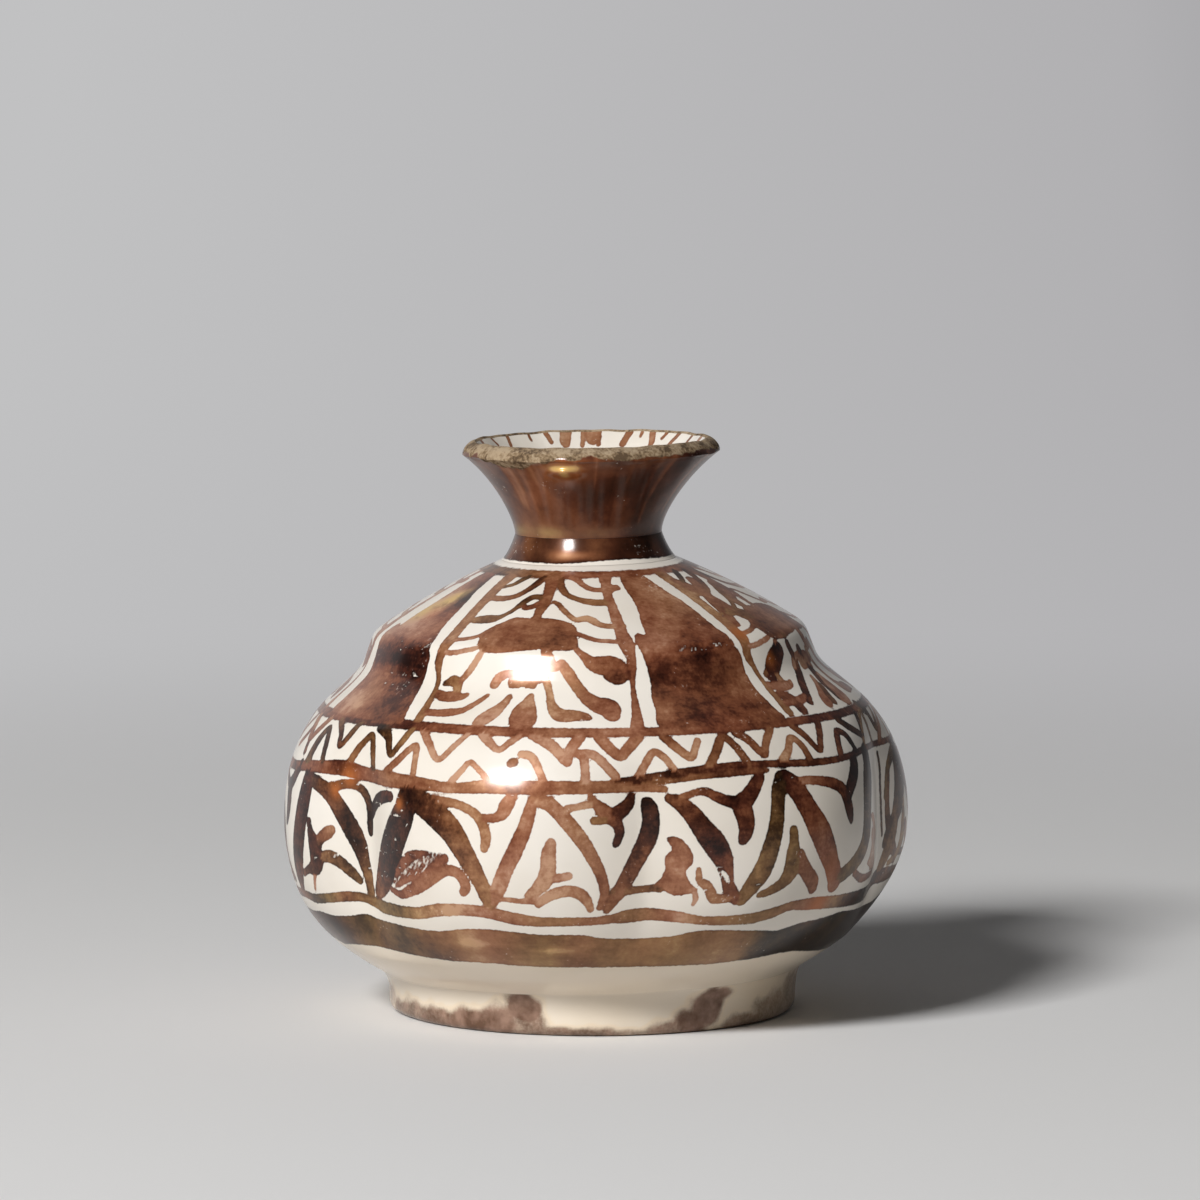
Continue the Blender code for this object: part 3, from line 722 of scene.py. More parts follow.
# Leaf zigzag: one list for each peak, of strokes given as first tone, last tone, olive share, and points
# of angle, height and width.
PEAK_TURNS = (-68.0, -37.0, -12.0, 12.0, 37.0)
ZIGZAG = [
    [
        (0.15, 0.25, 0, [(-69.4, 50, 4), (-70.1, 46.4, 4.6), (-71.2, 41.2, 4.8), (-72.4, 36, 4.6),
            (-74, 31, 4), (-74.9, 28, 2.5)]),
        (0.15, 0.65, 0.6, [(-70, 50.4, 2.2), (-64.7, 49, 2.6), (-61.2, 47.4, 3.2), (-58.7, 44.8, 3.6),
            (-56.1, 41.2, 3.8), (-54.3, 38.1, 3.4), (-53.3, 35.1, 2.6), (-52.4, 32, 2), (-51.8, 28.6, 1.6)]),
        (0.55, 0.15, 0.55, [(-61, 49.2, 1.6), (-56.3, 50, 1.5), (-53.5, 49.4, 1.5), (-51.8, 47.7, 1.6),
            (-51.1, 45.2, 1.6), (-51.3, 42.1, 1.4), (-51.2, 40.6, 1)]),
        (0, 0.35, 0, [(-50.6, 44.1, 1), (-49.3, 46.2, 1.8), (-47.4, 47.7, 2.2), (-44.6, 48.6, 2),
            (-42.8, 48.7, 1.6)]),
        (0.2, 0.35, 0.3, [(-67.8, 41.6, 1.3), (-67.2, 39.6, 1.8), (-66.1, 36.9, 3.4), (-65.7, 34.4, 4),
            (-66.7, 32.5, 3), (-69.2, 31.7, 1.3), (-71.4, 30.7, 1.1)]),
        (0.25, 1, 0.6, [(-65.2, 36.9, 2.2), (-63.9, 38.7, 2), (-61.9, 39.9, 2.2), (-60.9, 40.5, 1.6)]),
        (0.55, 0.65, 0.75, [(-64.4, 34.7, 1.6), (-61.7, 35.1, 2.2), (-59.1, 34.2, 2.2),
            (-56.3, 32.3, 1.9), (-54.5, 30.9, 1.2)]),
        (0.9, 0.9, 0, [(-68.4, 27.7, 0.5), (-67.2, 30.7, 0.7)]),
    ],
    [
        (0.5, 0.25, 0.2, [(-49, 29.1, 2.6), (-46.6, 32.1, 5.4), (-43.8, 36.8, 7.2), (-41.2, 41.4, 7),
            (-38.8, 45.4, 6), (-37.5, 50, 4.6)]),
        (0.25, 0.7, 0.3, [(-37.5, 50, 3.4), (-33.2, 48, 4.4), (-30.1, 46.1, 4.6), (-27, 43.5, 4.4),
            (-24.6, 39.9, 3.8), (-22.6, 36.4, 3.2), (-21.2, 33.3, 2.7), (-20.1, 30.3, 2.4),
            (-19.6, 28.8, 1.8)]),
        (0.55, 0.8, 0.2, [(-31.1, 49.1, 1.6), (-26.4, 48.7, 1.4), (-23.4, 47.6, 1.4), (-21.5, 46.2, 1.6),
            (-20.5, 44.4, 1.7), (-20, 42.3, 1.7), (-20.3, 40.3, 1.4)]),
        (0.65, 0.85, 0, [(-20.8, 46.1, 1.2), (-18.5, 46.2, 1.4), (-17, 47.1, 2), (-16.3, 48.6, 2.4),
            (-15.2, 50.3, 1.8)]),
        (0.6, 0.75, 0.05, [(-43.5, 30.3, 0.9), (-40.4, 29.6, 1.3), (-37.4, 30.7, 2), (-34.6, 32.1, 2.6),
            (-31.4, 33.9, 2.4), (-28.2, 35.5, 1.8), (-26.1, 35.4, 1.8), (-24.8, 34.2, 1.9),
            (-24.2, 32.4, 1.8), (-24.8, 31.4, 1.4)]),
        (0.75, 0.7, 0, [(-41.2, 32.4, 2.6), (-39, 34.3, 4.2), (-36.1, 35.9, 5), (-33.3, 36.6, 4.4),
            (-31.3, 37.1, 3.2), (-28.3, 37.9, 1.6)]),
    ],
    [
        (0.8, 0.7, 0.05, [(-19.5, 29.6, 2.2), (-18, 32.3, 2.6), (-16.4, 36.3, 2.6), (-14.6, 40.2, 2.7),
            (-13, 44.2, 2.4), (-12, 47.7, 2), (-11.6, 49.2, 1.6)]),
        (0.7, 0.65, 0.1, [(-11.4, 49.7, 1.8), (-8.9, 49.1, 2.4), (-7, 47.4, 2.4), (-5, 44.8, 2.5),
            (-3, 42, 2.4), (-1.3, 38.9, 2.2), (0.1, 35.9, 1.9), (0.9, 33.3, 1.7), (1.2, 30.8, 1.5),
            (0.4, 28.3, 1)]),
        (0.75, 0.2, 0.05, [(-1.1, 50.2, 0.9), (-0.2, 48.9, 1.4), (1.1, 47.4, 2.4), (2.6, 46.1, 2.6),
            (3.7, 44.6, 1.9), (4.1, 42.8, 1.6), (3.4, 40.8, 1.2)]),
        (0.25, 0.3, 0.05, [(6.6, 49.7, 1.4), (5.9, 48.3, 2), (4.5, 47.1, 2.4), (2.7, 46.3, 2.4)]),
        (0.9, 0.9, 0.1, [(-5.4, 48, 1), (-3.4, 48.3, 1), (-1.1, 48.7, 1.2)]),
        (0.55, 0.5, 0.4, [(-0.6, 45.5, 1.2), (0.6, 45.5, 1.4), (2.1, 45.8, 1.6)]),
        (0.8, 0.8, 0.1, [(-8.3, 41.4, 1.6), (-8.8, 39.1, 2.4), (-8.9, 36.6, 2.6), (-9.4, 34.4, 2.8),
            (-10.7, 32.6, 2.2), (-12.5, 30.9, 1.4)]),
        (0.7, 1, 0, [(-8.2, 34.4, 1.4), (-6.5, 34.6, 1.3), (-5.3, 34.9, 1.2)]),
        (0.9, 0.75, 0.1, [(-10.8, 29.3, 1.2), (-9.3, 30.6, 1.6), (-7.2, 31.6, 1.9), (-5, 31.8, 1.9),
            (-3.2, 31.1, 1.9), (-2, 29.7, 1.5), (-1.3, 28, 1)]),
        (0.85, 0.85, 0.05, [(-17.8, 30.3, 0.7), (-13.3, 29.9, 0.8), (-11.3, 30.1, 1.4)]),
    ],
    [
        (0.55, 0.2, 0.15, [(1.8, 27.8, 1.3), (2.9, 29.7, 2), (4.5, 32.2, 2.6), (6.1, 35.2, 2.8),
            (8, 38.7, 3), (9.5, 41.6, 3.2), (10.2, 44.6, 3), (10.1, 47.1, 2.8), (9.7, 48.3, 2.2)]),
        (0.4, 0.45, 0.1, [(13.8, 49.2, 1.4), (15.5, 48.4, 2.4), (17.5, 46.4, 3), (19.5, 43.4, 3.6),
            (21.5, 40.4, 4.2), (23.1, 37.4, 3.6), (23.7, 35, 2.6), (24.2, 32.4, 2), (24.9, 30.4, 2.4),
            (26.3, 28.7, 1.8)]),
        (0.75, 0.2, 0.1, [(15.8, 49.2, 1), (18.5, 50.1, 1), (20.5, 50.3, 1.3), (22.5, 49.3, 1.6),
            (24.5, 48.3, 1.9), (26.6, 47.8, 2.4)]),
        (0.25, 0.35, 0.1, [(31.6, 52.5, 1.8), (30.3, 50.8, 2.4), (28.7, 48.9, 2.8), (27.2, 47.3, 3.4),
            (27.7, 44.5, 3.2), (27.6, 42.1, 2.5), (26.9, 40.5, 1.6)]),
        (0.45, 0.6, 0.35, [(2.9, 31.3, 1.4), (6, 31.4, 1.3), (9.1, 31.6, 1), (11.8, 31.7, 1.4)]),
        (0.9, 0.6, 0.25, [(18.7, 35.2, 0.7), (19, 33, 1.1), (20.2, 32, 1.6), (21.2, 30.5, 1.7),
            (21.9, 29.2, 1.6), (24, 29.2, 1.6), (25.6, 29.4, 1.6)]),
        (0.9, 0.95, 0, [(18, 31.3, 0.6), (18.5, 29.5, 0.8), (18.2, 28.2, 0.4)]),
    ],
    [
        (0.55, 0.15, 0.6, [(27.2, 28.7, 2.2), (28.9, 31.4, 3), (30.8, 34.4, 3.4), (32.3, 38.4, 3.2),
            (33.5, 42.4, 2.9), (34.3, 46.4, 2.6), (35, 49.4, 2.8), (36.5, 51.4, 3.6)]),
        (0.15, 0.65, 0, [(37, 51.6, 3.4), (38.7, 50, 4), (40.1, 47.3, 4), (41.6, 44.3, 4.3),
            (43.4, 40.8, 5), (45.1, 37.2, 4.7), (46.5, 34.3, 3.9), (47.9, 31.7, 3.8), (48.6, 29.8, 3.4)]),
        (0.65, 0.05, 0, [(40.5, 51, 1.2), (43, 50.8, 1.4), (45.5, 50.4, 1.6), (48.6, 49.6, 2),
            (50.9, 48.4, 2.4), (52, 46.5, 2.7), (52.4, 44.5, 2.7), (52.6, 42.9, 2), (52.7, 41.9, 1.2)]),
        (0.05, 0, 0, [(53.2, 47.4, 2.3), (55.5, 49.4, 2.6), (57.3, 51.1, 2.8), (58.5, 52.9, 2.7)]),
        (0.5, 0.65, 0.6, [(37.2, 41.7, 1.5), (37.2, 39.3, 1.9), (37, 36.8, 2.8), (36.8, 34.1, 3.2),
            (35.3, 31.6, 2.2), (32.9, 30.1, 1.6), (30.7, 29.4, 1)]),
        (0.5, 0.55, 0.15, [(38.6, 36.9, 1.6), (39.3, 34.5, 2.6), (40.6, 32.7, 2.7), (42.1, 31, 2.7),
            (42.8, 29.4, 1.8)]),
    ],
]
# A filled leaf in one of the peaks: tone, olive share, and an outline of angles and heights.
PEAR_PEAK = 3
PEAR_LEAF = (0.7, 0.1, [(13, 41.5), (15, 41.7), (16.6, 40.3), (17.7, 38.2), (17.6, 36.4), (16.4, 34.8),
    (17.4, 32.5), (18.6, 30.8), (14.8, 30.1), (12.5, 31.1), (10.6, 32.1), (11.8, 33.6), (12.7, 35.6),
    (12.6, 37.6), (13.9, 39.5)])
# The last peak before the right-hand crease, and the leaf beside that crease, as strokes. Their darkest
# tones, down to 0 towards the crease on the flank turned from the lamp, are partly painted shade.
LAST_PEAK = [
    (0.5, 0, 0.8, [(48.8, 30.8, 2.6), (51.2, 31.5, 2.9), (53.8, 32.8, 3), (56.4, 34.4, 3.4),
        (58.5, 36.5, 3.7), (60, 39.3, 4.2), (60.8, 42.2, 4.5), (61.9, 45.2, 4.8), (63.3, 47.8, 5),
        (65.2, 50.4, 4.8), (66.1, 53, 4.2)]),
    (0.45, 0.3, 0.15, [(55.1, 31, 1.2), (59, 29.4, 1.4), (63.2, 29.2, 1.3), (68, 29.7, 1.2),
        (70.5, 32.2, 0.9)]),
    (0.2, 0.3, 0.4, [(76.8, 52.1, 0.7), (77, 49.1, 0.7), (76.7, 46.1, 0.7), (76.8, 43.3, 0.6),
        (77, 39.3, 0.6), (77.4, 35.5, 0.5)]),
    (0.3, 0.45, 0.8, [(86.1, 52.1, 2.2), (83, 50.6, 1.9), (80.6, 48.6, 1.6), (79.5, 45.8, 1.4),
        (78.8, 43.1, 1)]),
    (0.1, 0.35, 0.5, [(89.7, 49.1, 3.9), (88.7, 46.6, 4.1), (87, 43.3, 4.1), (85.3, 40.9, 3.7),
        (82.9, 38.5, 2.9), (80.6, 36.5, 2.5), (79.1, 34.3, 2), (78.4, 33.4, 1.2)]),
    (0.35, 0.35, 0.3, [(79.9, 32.6, 1), (83.6, 31.3, 1.2), (87.5, 30.9, 1.2), (91.3, 30.6, 1.2)]),
    (0.4, 0.35, 0.4, [(80.5, 47.6, 1.2), (79.5, 42, 1.6), (80.5, 36, 2.2), (84.5, 30, 2)]),
]
BACK_PEAKS = 9
BACK_SPACING = 25.5
BACK_START = 88.0
ZIGZAG_SEED = 7
# How far a stroke that is made again differs: in degrees, in mm up, and in its share of width.
HAND_TURN = 0.5
HAND_LIFT = 0.3
HAND_WIDTH = 0.12
# Parts scratched by use: angles and heights between which the scratches lie, and their number.
RUBBED_ZONES = [
    (-50, -36, 30, 50, 60), (-60, -32, 49, 56, 36), (-32, -5, 49, 60, 30), (-75, -52, 28, 50, 24),
    (10, 45, 50, 56, 16), (18, 30, 30, 40, 12), (150, 210, 30, 56, 40), (240, 280, 30, 56, 30),
]
# Paler and darker parts of the zigzag: angle, height, half sizes in mm along and up, tone change, and olive
# change where given. The two paler streaks low on the wide band, at -24.6 and -7.2 degrees, are painted
# highlights, and the darker patch at -62 degrees, 20 mm is a painted dark reflection on the band.
LEG_SHADES = [
    (-43, 39, 7, 10, -0.4), (-57, 38, 7, 13, -0.25), (-80, 40, 7, 13, -0.25), (-33, 43, 4, 5, -0.3),
    (-27, 30, 5, 5, 0.1), (-62, 20, 9, 3, -0.2), (20.6, 38, 4, 7, -0.22), (14, 44, 4, 4, -0.15),
    (-24.6, 20.8, 4, 0.8, 0.4), (-7.2, 19.4, 3.5, 0.7, 0.45), (-64, 41, 14, 10, 0, -0.4),
]
# Lines scraped through a leaf: angle and height where each starts, and the shape of each from there.
BRUSH_SCRATCHES = [
    (-42, 31.6), (-41, 32.4), (-39.9, 32.9), (-38.9, 33.4), (-37.8, 33.6), (-36.8, 33.9), (-35.6, 34.1),
    (-34.4, 34.3),
]
SCRATCH_SHAPE = ((0.0, 0.0, 0.12), (3.0, 2.6, 0.26), (6.2, 4.8, 0.12))
WORN_LEAF = [(22.9, 34.7, 0.5), (23.7, 33.7, 1.0), (24.3, 32.4, 0.7)]


def turned_stroke(points, turn, lift, hand):
    """The same stroke made again further round, a little different as a hand makes it."""
    moved = np.array(points, float)
    moved[:, 0] += turn + hand.uniform(-HAND_TURN, HAND_TURN)
    moved[:, 1] += lift + hand.uniform(-HAND_LIFT, HAND_LIFT)
    if moved.shape[1] > 2:
        moved[:, 2] *= hand.uniform(1.0 - HAND_WIDTH, 1.0 + HAND_WIDTH)
    return moved


def paint_zigzag(painting):
    """Brush the leaf zigzag: the peaks that face the front, and the rest repeated round the back."""
    for peak in ZIGZAG:
        for stroke in peak:
            painting.stroke(*stroke)
    painting.patch(*PEAR_LEAF)
    for stroke in LAST_PEAK:
        painting.stroke(*stroke)
    hand = np.random.default_rng(ZIGZAG_SEED)
    for step in range(1, BACK_PEAKS + 1):
        source = (step + 1) % 4 + 1
        turn = PEAK_TURNS[-1] + step * BACK_SPACING - PEAK_TURNS[source]
        for *tones, points in ZIGZAG[source]:
            shifted = turned_stroke(points, turn, 0.0, hand)
            if step > 1 or shifted[:, 0].mean() > BACK_START:
                painting.stroke(*tones, shifted)
        if source == PEAR_PEAK:
            *tones, points = PEAR_LEAF
            painting.patch(*tones, turned_stroke(points, turn, 0.0, hand))
    for zone in RUBBED_ZONES:
        painting.rub(*zone, hand)
    for turn, rise in BRUSH_SCRATCHES:
        painting.scratch([(turn + over, rise + up, wide) for over, up, wide in SCRATCH_SHAPE])
    painting.scratch(WORN_LEAF)


def inner_rows(outside, low, high):
    """Rows of the wall's inside, a wall's thickness in from the outside."""
    along = np.gradient(outside, axis=0)
    along /= np.hypot(*along.T)[:, None]
    inside = outside + BODY_WALL * np.column_stack((-along[:, 1], along[:, 0]))
    return inside[(inside[:, 1] > low) & (inside[:, 1] < high)]


FLOOR_CORNER = 2.0
floor_top = BASE + FLOOR_WALL
lower_inside = even_rows(inner_rows(lower_wall, floor_top, BELLY), INSIDE_ROW)[::-1]
floor_edge = lower_inside[-1][0] - FLOOR_CORNER
lower_sections = [
    ([(0.0, BASE), *((radius, BASE) for radius in FLOOR_RINGS)], BODY_COLUMNS // 2),
    (even_rows(lower_wall, PAINT_ROW), BODY_COLUMNS),
    ([(BELLY_RADIUS - JOINT_STEP, BELLY)], BODY_COLUMNS),
    ([(BELLY_RADIUS - BODY_WALL, BELLY), *lower_inside], BODY_COLUMNS // 2),
    ([(floor_edge, floor_top), (FLOOR_RINGS[0], floor_top), (0.0, floor_top)], BODY_COLUMNS // 2),
]
# Spots that the kiln flushed orange: angle, height, size in mm and strength.
LOWER_FLUSHES = [(45.8, 25.9, 3.0, 0.8), (46.5, 33.0, 3.5, 0.4)]
PAINT_DEPTH = 0.5
BASE_SOIL = 0.2
SOIL_START = 21.0
SOIL_FULL = 15.0


def outside_only(coats, radius, height):
    """Keep the painted coats to the outside of the wall."""
    outer = radius > body_radius(height) - PAINT_DEPTH
    return {**coats, "lustre_mm": np.where(outer, coats["lustre_mm"], NO_PAINT)}


def lower_coats(angle, radius, height):
    """The wide band, the stripe and the zigzag, on a wall that is dirty towards the foot."""
    painting = Painting(angle, height)
    painting.ring(WIDE_BAND)
    painting.ring(STRIPE)
    paint_zigzag(painting)
    for shade in LEG_SHADES:
        painting.shade(*shade)
    for flush in LOWER_FLUSHES:
        painting.spot(*flush)
    soil = BASE_SOIL * part_way(height, SOIL_START, SOIL_FULL)
    brushed = np.interp(height, (24.0, 27.0), (0.55, 1.0))
    return outside_only({**painting.coats(), "soil": soil, "brushed": brushed}, radius, height)


lower_body = turned_piece("lower_body", lower_sections, lobed_wall, lower_coats)
lower_body.data.materials.append(glaze)

# Belly slip bead
# A band of slip smoothed over the inside of the belly joint, where the two halves meet.
# It keeps the dull grainy look of dried slip.
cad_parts["belly_slip_bead"].data.materials.clear()
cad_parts["belly_slip_bead"].data.materials.append(slip)

# Upper body
# The upper half of the belly, with the notch, the ridge and the sloping shoulder, set on the lower half
# and glazed over the joint. Four white leaf panels and four dark panels fill the shoulder.
# The line under the chevrons, as two strokes, then the chevrons and the peaks that stand between them.
LINE_TWO = [
    (0.65, 0.25, 0.1, [(13.1, 51, 1), (9.4, 51.3, 1.1), (5.3, 51.8, 1.9), (0.2, 51.9, 2), (-9.9, 52, 2.3),
        (-19.9, 52.1, 2.3), (-26.9, 51.6, 1.7), (-35.2, 52, 2.1), (-43.2, 52, 2.6), (-50.8, 52.2, 2.4),
        (-57.8, 53, 2.7), (-64.2, 52.7, 2.2), (-70.6, 52.3, 1.9), (-80, 51.6, 1.6), (-100, 51.9, 1.9),
        (-130, 52.5, 2.1), (-160, 53, 1.8), (-190, 53.6, 2), (-220, 54.2, 1.8), (-250, 54.8, 2),
        (-265, 54.4, 1.5), (-272, 53.9, 0.9), (-281, 54, 0.9), (-289, 54.2, 0.9), (-294.5, 54.3, 0.9),
        (-301, 54, 1), (-305, 53.9, 1), (-312, 53.9, 1.1), (-318, 54.2, 1.2), (-329.7, 54.9, 1.1),
        (-336.6, 54.6, 1.4), (-342.5, 53.9, 1.8), (-349.6, 53.2, 1.4), (-355.7, 52.5, 1.4)]),
    (0.5, 0.5, 0.2, [(9, 52.6, 1), (15, 52.9, 1.2), (20, 53.4, 1.3), (27, 53.5, 1), (33.5, 53.6, 0.8)]),
]
CHEVRONS = [
    (0.75, 0.75, 0.3, [(-79, 61.2, 2.2), (-77, 59.5, 2), (-75.3, 57.2, 1.5), (-73, 59, 1.6),
        (-70.2, 61.6, 1.6)]),
    (0.4, 0.55, 0.6, [(-65, 62.1, 1.4), (-61.8, 59.7, 1.3), (-60.8, 57.2, 1.1), (-58.7, 58.9, 1.2),
        (-56.2, 62, 1.4)]),
    (0.25, 0.65, 0.5, [(-48.5, 61.8, 2.6), (-45.8, 60.2, 1.7), (-44, 56.9, 1.2), (-41.6, 59.2, 1.2),
        (-39.9, 61.8, 1.4)]),
    (0.8, 0.9, 0, [(-36.8, 61.7, 1.4), (-34.4, 59.5, 1.3), (-31.3, 56.7, 1), (-28.8, 58.8, 1),
        (-26.1, 61.6, 0.9)]),
    (0.85, 0.85, 0, [(-22.7, 61.6, 1.8), (-20.7, 60.1, 1.4), (-18.6, 58.9, 1), (-16.7, 60.2, 1.1),
        (-14.9, 61.4, 1.2)]),
    (0.85, 0.85, 0, [(-12.1, 61.6, 1.8), (-8.7, 60.1, 2), (-6.7, 58.4, 1.8), (-5.1, 56.6, 1.2),
        (-4.5, 58.9, 1.7), (-2.6, 61.3, 2)]),
    (0.7, 0.8, 0.05, [(1.2, 61.2, 1.8), (2.9, 59.4, 1.9), (5.1, 57.6, 1.6), (6.9, 59.1, 1.8),
        (9.1, 61.1, 1.8)]),
    (0.55, 1, 0.1, [(14.1, 61, 1.5), (16, 59.2, 1.5), (18.8, 56.9, 1.3), (20.1, 58.5, 1.1), (21, 59.9, 1)]),
    (0.35, 0.6, 0.15, [(29.9, 60.8, 1.8), (31.9, 59.3, 1.6), (34, 56.5, 1.3), (35.5, 58.5, 1.3),
        (38.2, 60.9, 1.4)]),
    (0.5, 0.45, 0.15, [(44.6, 60.8, 1.6), (46.3, 59, 1.5), (48.2, 56.1, 1.2), (50.4, 58.3, 1.3),
        (52.6, 60.9, 1.4)]),
    (0.25, 0.1, 0.3, [(59.9, 60.8, 1.6), (62.5, 59, 1.6), (67.9, 56.8, 1.3), (68.7, 58.3, 1.3),
        (69.7, 61.3, 1.5)]),
]
PEAKS = [
    (0.45, 0.35, 0.9, [(-71.7, 52.9, 2.2), (-70, 57.3, 2), (-67.9, 59.9, 1.3), (-66.2, 57.7, 1.5),
        (-65.4, 53.7, 1.4)]),
    (0.75, 0.35, 0.55, [(-56.5, 54.4, 1.4), (-54, 57.5, 1.3), (-50.9, 60, 1), (-50, 57.8, 1.3),
        (-49.4, 53.3, 1.2)]),
    (0.55, 0.85, 0.1, [(-44.9, 53.4, 1.3), (-41.7, 55.7, 1.3), (-38.4, 58.5, 1.2), (-37.1, 58.3, 1.2),
        (-36.7, 53.8, 1.2)]),
    (0.9, 0.7, 0, [(-27.5, 52.9, 1.1), (-25.8, 54.6, 1), (-24.2, 56.5, 0.8), (-22.3, 55.4, 0.8),
        (-20.2, 53.5, 1)]),
    (0.45, 0.45, 0.2, [(-15.8, 56.5, 1.5), (-15.4, 56.7, 1.6)]),
    (1, 0.75, 0.05, [(-13.9, 58.2, 1.3), (-12.3, 57.9, 1.4), (-11.1, 56.6, 1.3), (-9.6, 53.4, 1.2)]),
    (0.8, 0.95, 0, [(-3.1, 58.3, 1.2), (-1.9, 57, 1.4), (-1.8, 53, 1.4)]),
    (0.95, 0.85, 0, [(-2.5, 58.3, 1.3), (-0.5, 58.1, 1.5), (1.3, 56.9, 1.5), (3.9, 53.8, 1.5)]),
    (0.9, 0.85, 0, [(8.2, 53.5, 1.2), (9.9, 55.9, 1.2), (11.7, 58.1, 1.1), (13.8, 56.9, 1.1),
        (15.7, 53.9, 1.1)]),
    (0.5, 0.45, 0.25, [(22.1, 54.9, 1.5), (24.3, 57.8, 1.5), (26.5, 60.3, 1.4), (28.5, 58.4, 1.4),
        (30.2, 54.8, 1.4)]),
    (0.85, 0.45, 0.15, [(37.8, 55.2, 1.4), (40, 56.7, 1.4), (42.1, 58.9, 1.2), (43.9, 57.6, 1.4),
        (44.7, 54.3, 1.4)]),
    (0.5, 0.05, 0.1, [(54.3, 54.8, 1.6), (55.8, 57.5, 1.5), (57.3, 58.7, 1.3), (59.6, 57.6, 1.4),
        (60.9, 54.6, 1.4)]),
]
# Turn and lift of the copies at the back, and the angles between which chevrons and peaks are copied.
CHEVRON_COPIES = ((124.0, 1.2), (240.0, 0.6))
CHEVRON_GAP = (69.0, 279.0)
PEAK_GAP = (66.0, 286.0)
# White leaf panel of the shoulder: borders and filled shapes, then strokes. It repeats four times.
LEAF_SHAPES = [
    (0.65, 0.3, [(-48.8, 89.4), (-47.4, 87.2), (-45.9, 85.2), (-44.7, 82.8), (-43.8, 80.4), (-43.5, 78),
        (-43.4, 75.6), (-43.4, 73.6), (-41.9, 71.5), (-41.1, 69.5), (-40.9, 66.5), (-40.9, 63.1),
        (-38.7, 63), (-38.9, 66.5), (-39.7, 70), (-40.6, 73), (-40.5, 75.6), (-39.4, 77.5), (-39.5, 78.9),
        (-40.2, 82.3), (-40.8, 85.2), (-41.2, 87.2), (-41.6, 89.4)]),
    (0.55, 0.1, [(-32.7, 79.5), (-30.3, 80.7), (-27.8, 81.6), (-24.8, 82.4), (-19.7, 82.3), (-15.6, 82.4),
        (-10.5, 82.2), (-6.4, 81.6), (-4.1, 80.8), (-3.8, 79.5), (-3.2, 78.3), (-3.6, 77.1), (-7.1, 76.8),
        (-12.1, 77.1), (-17, 76.8), (-21, 76.5), (-24.9, 76.2), (-28.9, 76.4), (-30.9, 77.2),
        (-31.9, 78.4)]),
    (0.7, 0, [(5.1, 89.2), (5.2, 87.9), (5.4, 86.4), (6.3, 83.9), (6.8, 81.9), (7.1, 79.9), (7.4, 77.9),
        (8.2, 76.5), (9.3, 74.4), (9.6, 70.9), (9.3, 67.9), (8.6, 64.9), (7.8, 62.4), (10.6, 62.4),
        (10.8, 65.9), (10.8, 69.9), (11.6, 72.9), (11.7, 75.9), (12, 77.9), (11, 79.9), (10.6, 81.9),
        (10.1, 83.9), (9.4, 86.1), (10.7, 86.7), (13.7, 87), (13.2, 87.7), (10.4, 87.9), (11.1, 89.1)]),
    (0.75, 0.05, [(-20, 72.7), (-16.2, 72.8), (-13.5, 72.2), (-13.4, 69.8), (-16.5, 69.9), (-20.3, 69.9)]),
]
DARK_PANEL = (0.55, 0.05, [(14.7, 62.3), (14.2, 65.8), (14.1, 67.8), (14.6, 69.8), (14.5, 71.8),
    (13.8, 74.9), (12.9, 76.9), (12.2, 78.1), (12.6, 79.1), (13.8, 79.6), (15.8, 79.4), (16.2, 81.8),
    (16.8, 83.8), (16.4, 85.8), (15.5, 87.9), (16.4, 89.1), (22.5, 89.3), (29, 89), (31.7, 87.6),
    (34.2, 85.7), (36, 84.7), (37.2, 83.2), (38.1, 81.6), (39.2, 79.6), (40.6, 78.1), (41, 76.1),
    (41.9, 74.5), (42, 70.5), (42.3, 67.5), (43.2, 64.5), (43.1, 62), (28.2, 61.9)])
